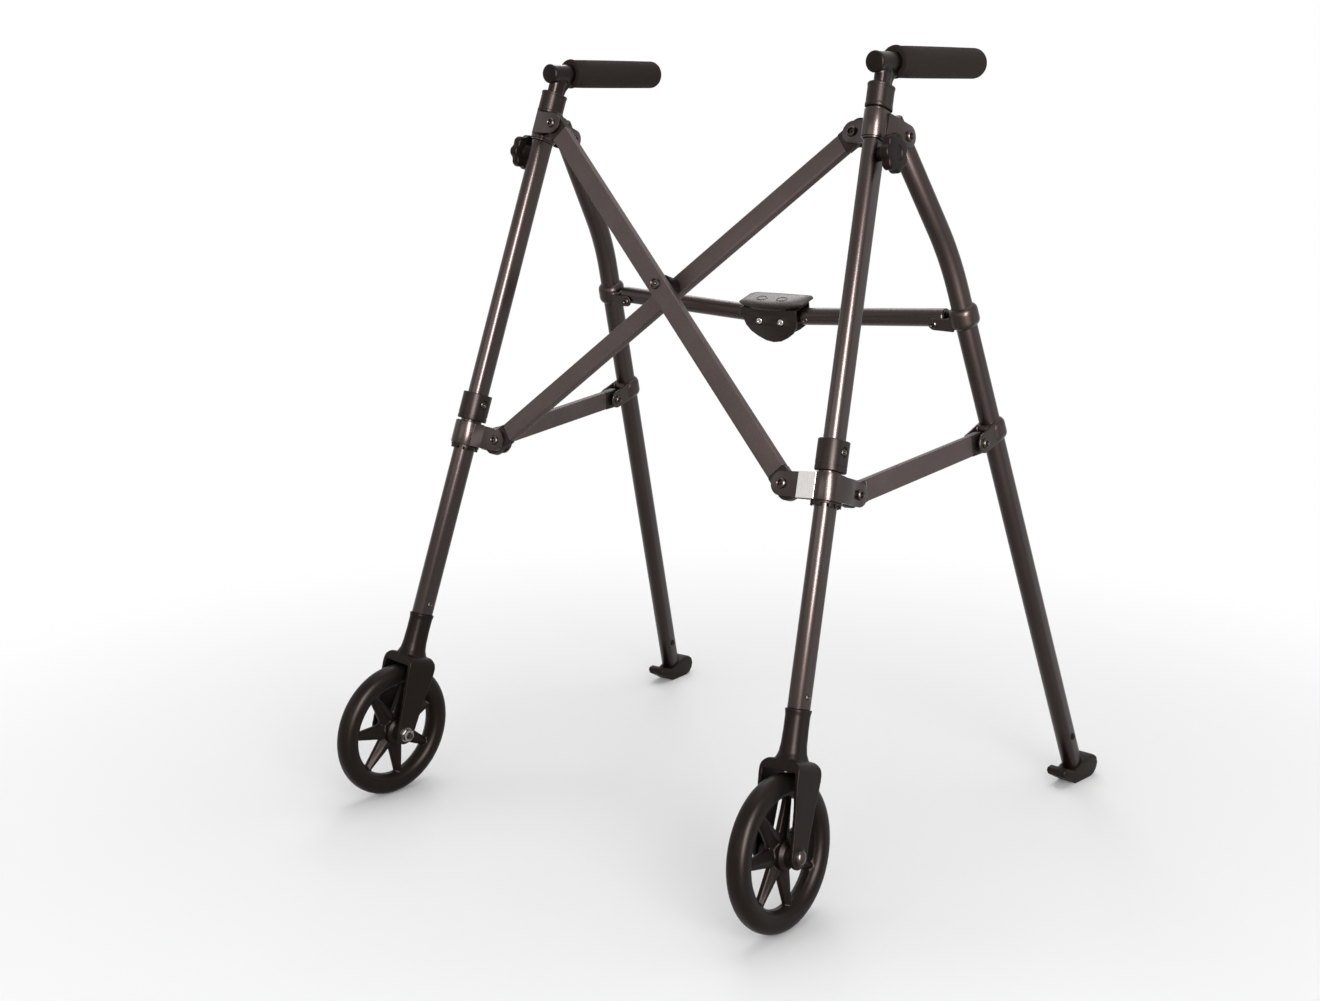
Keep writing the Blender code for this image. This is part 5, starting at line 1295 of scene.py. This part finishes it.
plug = turned([(0.0, inner_end - 0.001), (CROSS_R - 0.0017, inner_end - 0.001),
               (CROSS_R - 0.0017, inner_end + 0.0004), (CROSS_R - 0.0035, inner_end + 0.0016),
               (0.0, inner_end + 0.0016)], 40)
shift(plug, CROSS_LIFT, 0.0, 0.0)
tongue = close(bar(*TONGUE, inner_end - 0.001, length + 0.004, 0.001, 3))
merge(plug, shift(tongue, CROSS_LIFT / 2, 0.0, 0.0))
pair(plug, "{}_crossbar_plug", CROSS, "{}_crossbar", black_plastic)
screw_run = length - (CROSS_SCREW_X - BLOCK_PIN) / abs(along.x)
screw_seat = CROSS @ Vector((CROSS_LIFT - 0.0008, -CROSS_R + 0.0002, screw_run))
screw_place = facing(screw_seat, -CROSS_BACK, along)
pair(socket_head(CROSS_SCREW_R, CROSS_SCREW_H), "{}_crossbar_screw", screw_place, "{}_crossbar",
     dark_steel)


# Fold block: a black moulded housing over the middle of the crossbar, where the user presses it up.
# Bright screws go through its D-shaped cheeks, and its domed roof overhangs them all round and bears
# two pale rings for the thumbs.
BLOCK_WALL = 0.0026
BLOCK_SIDE_GAP = 0.0022
BLOCK_CROWN = 0.0240
BLOCK_ROOF_LOW = 0.0160
ROOF_START = 0.86
BLOCK_ROUND = 0.0016
HOLLOW_H = 0.066
RECESS_DEEP = 0.0012
BLOCK_SCREW_R = 0.0040
BLOCK_SCREW_H = 0.0016
BLOCK_SCREW_RISE = 0.0012
THUMB_RINGS = (-0.0150, 0.0130)
THUMB_STRETCH = (1.15, 0.85, 1.0, 1.0)
BLOCK_CHEEK = [(0.0395, 0.0170), (0.0380, 0.0040), (0.0355, -0.0050), (0.0295, -0.0125), (0.0205, -0.0185),
               (0.0105, -0.0231), (0.0, -0.0247)]
BLOCK_PLAN = [(0.0, -0.0195), (0.0130, -0.0187), (0.0260, -0.0162), (0.0375, -0.0118), (0.0445, -0.0070),
              (0.0445, 0.0160), (0.0395, 0.0205), (0.0, 0.0210)]

BLOCK = axes(Vector((0.0, BLOCK_EYE.y, BLOCK_EYE.z)), X, CROSS_BACK, CROSS_UP)
STAND = Matrix(((1, 0, 0, 0), (0, 0, -1, 0), (0, 1, 0, 0), (0, 0, 0, 1)))
cavity = CROSS_R + BLOCK_SIDE_GAP
half_y = cavity + BLOCK_WALL
cheek = BLOCK_CHEEK + [(-x, z) for x, z in reversed(BLOCK_CHEEK[:-1])]
block = put(slab(cheek, -half_y, 2 * half_y), STAND)
soften(block, BLOCK_ROUND, 3, CAST_ANGLE)
plan = BLOCK_PLAN + [(-x, y) for x, y in reversed(BLOCK_PLAN[1:-1])]
roof = trace([(x, y, BLOCK_ROOF_LOW) for x, y in plan])
bpy.ops.transform.resize(value=(ROOF_START, ROOF_START, 1.0), center_override=(0.0, 0.0, 0.0))
climb([(0.0026, 1.05, 1.05), (0.0010, 1.10, 1.10), (0.0014, 1.005, 1.005), (0.0004, 0.985, 0.985),
       (0.0011, 0.93, 0.90), (0.0008, 0.90, 0.86), (0.0006, 0.85, 0.80), (0.0003, 0.75, 0.70),
       (0.0001, 0.60, 0.55)])
close(roof)
merge(block, roof)
cut(block, close(box((0.16, 2 * cavity, HOLLOW_H), (0.0, 0.0, BLOCK_ROOF_LOW - 0.0005 - HOLLOW_H / 2))))


def on_cheek(x, out, face):
    """Place on one cheek of the block, z outwards from it."""
    turn = Matrix.Rotation(face * -math.pi / 2, 4, "X")
    return Matrix.Translation((x, face * out, BLOCK_SCREW_RISE)) @ turn


for x in (-BLOCK_PIN, BLOCK_PIN):
    for face in (-1.0, 1.0):
        recess = turned([(0.0, -RECESS_DEEP), (0.0046, -RECESS_DEEP), (0.0054, 0.0010), (0.0, 0.0010)])
        cut(block, put(recess, on_cheek(x, half_y, face)))
soften(block, 0.0003, 2, CUT_ANGLE)
block_plastic = moulded("smooth_black_plastic", (0.0082, 0.0056, 0.0046), 0.27, 0.24, 1400.0, 0.04)
pair(block, "fold_block", BLOCK, "center_block", block_plastic, ["center_block"],
     ("centre",), 20.0)
for number, x in enumerate((-BLOCK_PIN, BLOCK_PIN)):
    for label, face in (("front", -1.0), ("rear", 1.0)):
        seat = BLOCK @ on_cheek(x, half_y - RECESS_DEEP - 0.0001, face)
        pair(socket_head(BLOCK_SCREW_R, BLOCK_SCREW_H), f"block_screw_{label}_{number + 1}", seat,
             "center_block", bright_steel, (), ("centre",))
pale_print = moulded("pale_pad_print", (0.20, 0.185, 0.18), 0.5, 0.3)
for number, x in enumerate(THUMB_RINGS):
    thumb_ring = ring_turned([(0.0052, 0.0), (0.0052, 0.0007), (0.0057, 0.0009), (0.0062, 0.0007),
                              (0.0062, 0.0)], 40)
    lay = Matrix.Translation((x, -0.001, BLOCK_CROWN)) @ Matrix.Diagonal(THUMB_STRETCH)
    pair(thumb_ring, f"block_thumb_ring_{number + 1}", BLOCK @ lay, "center_block",
         pale_print, (), ("centre",))
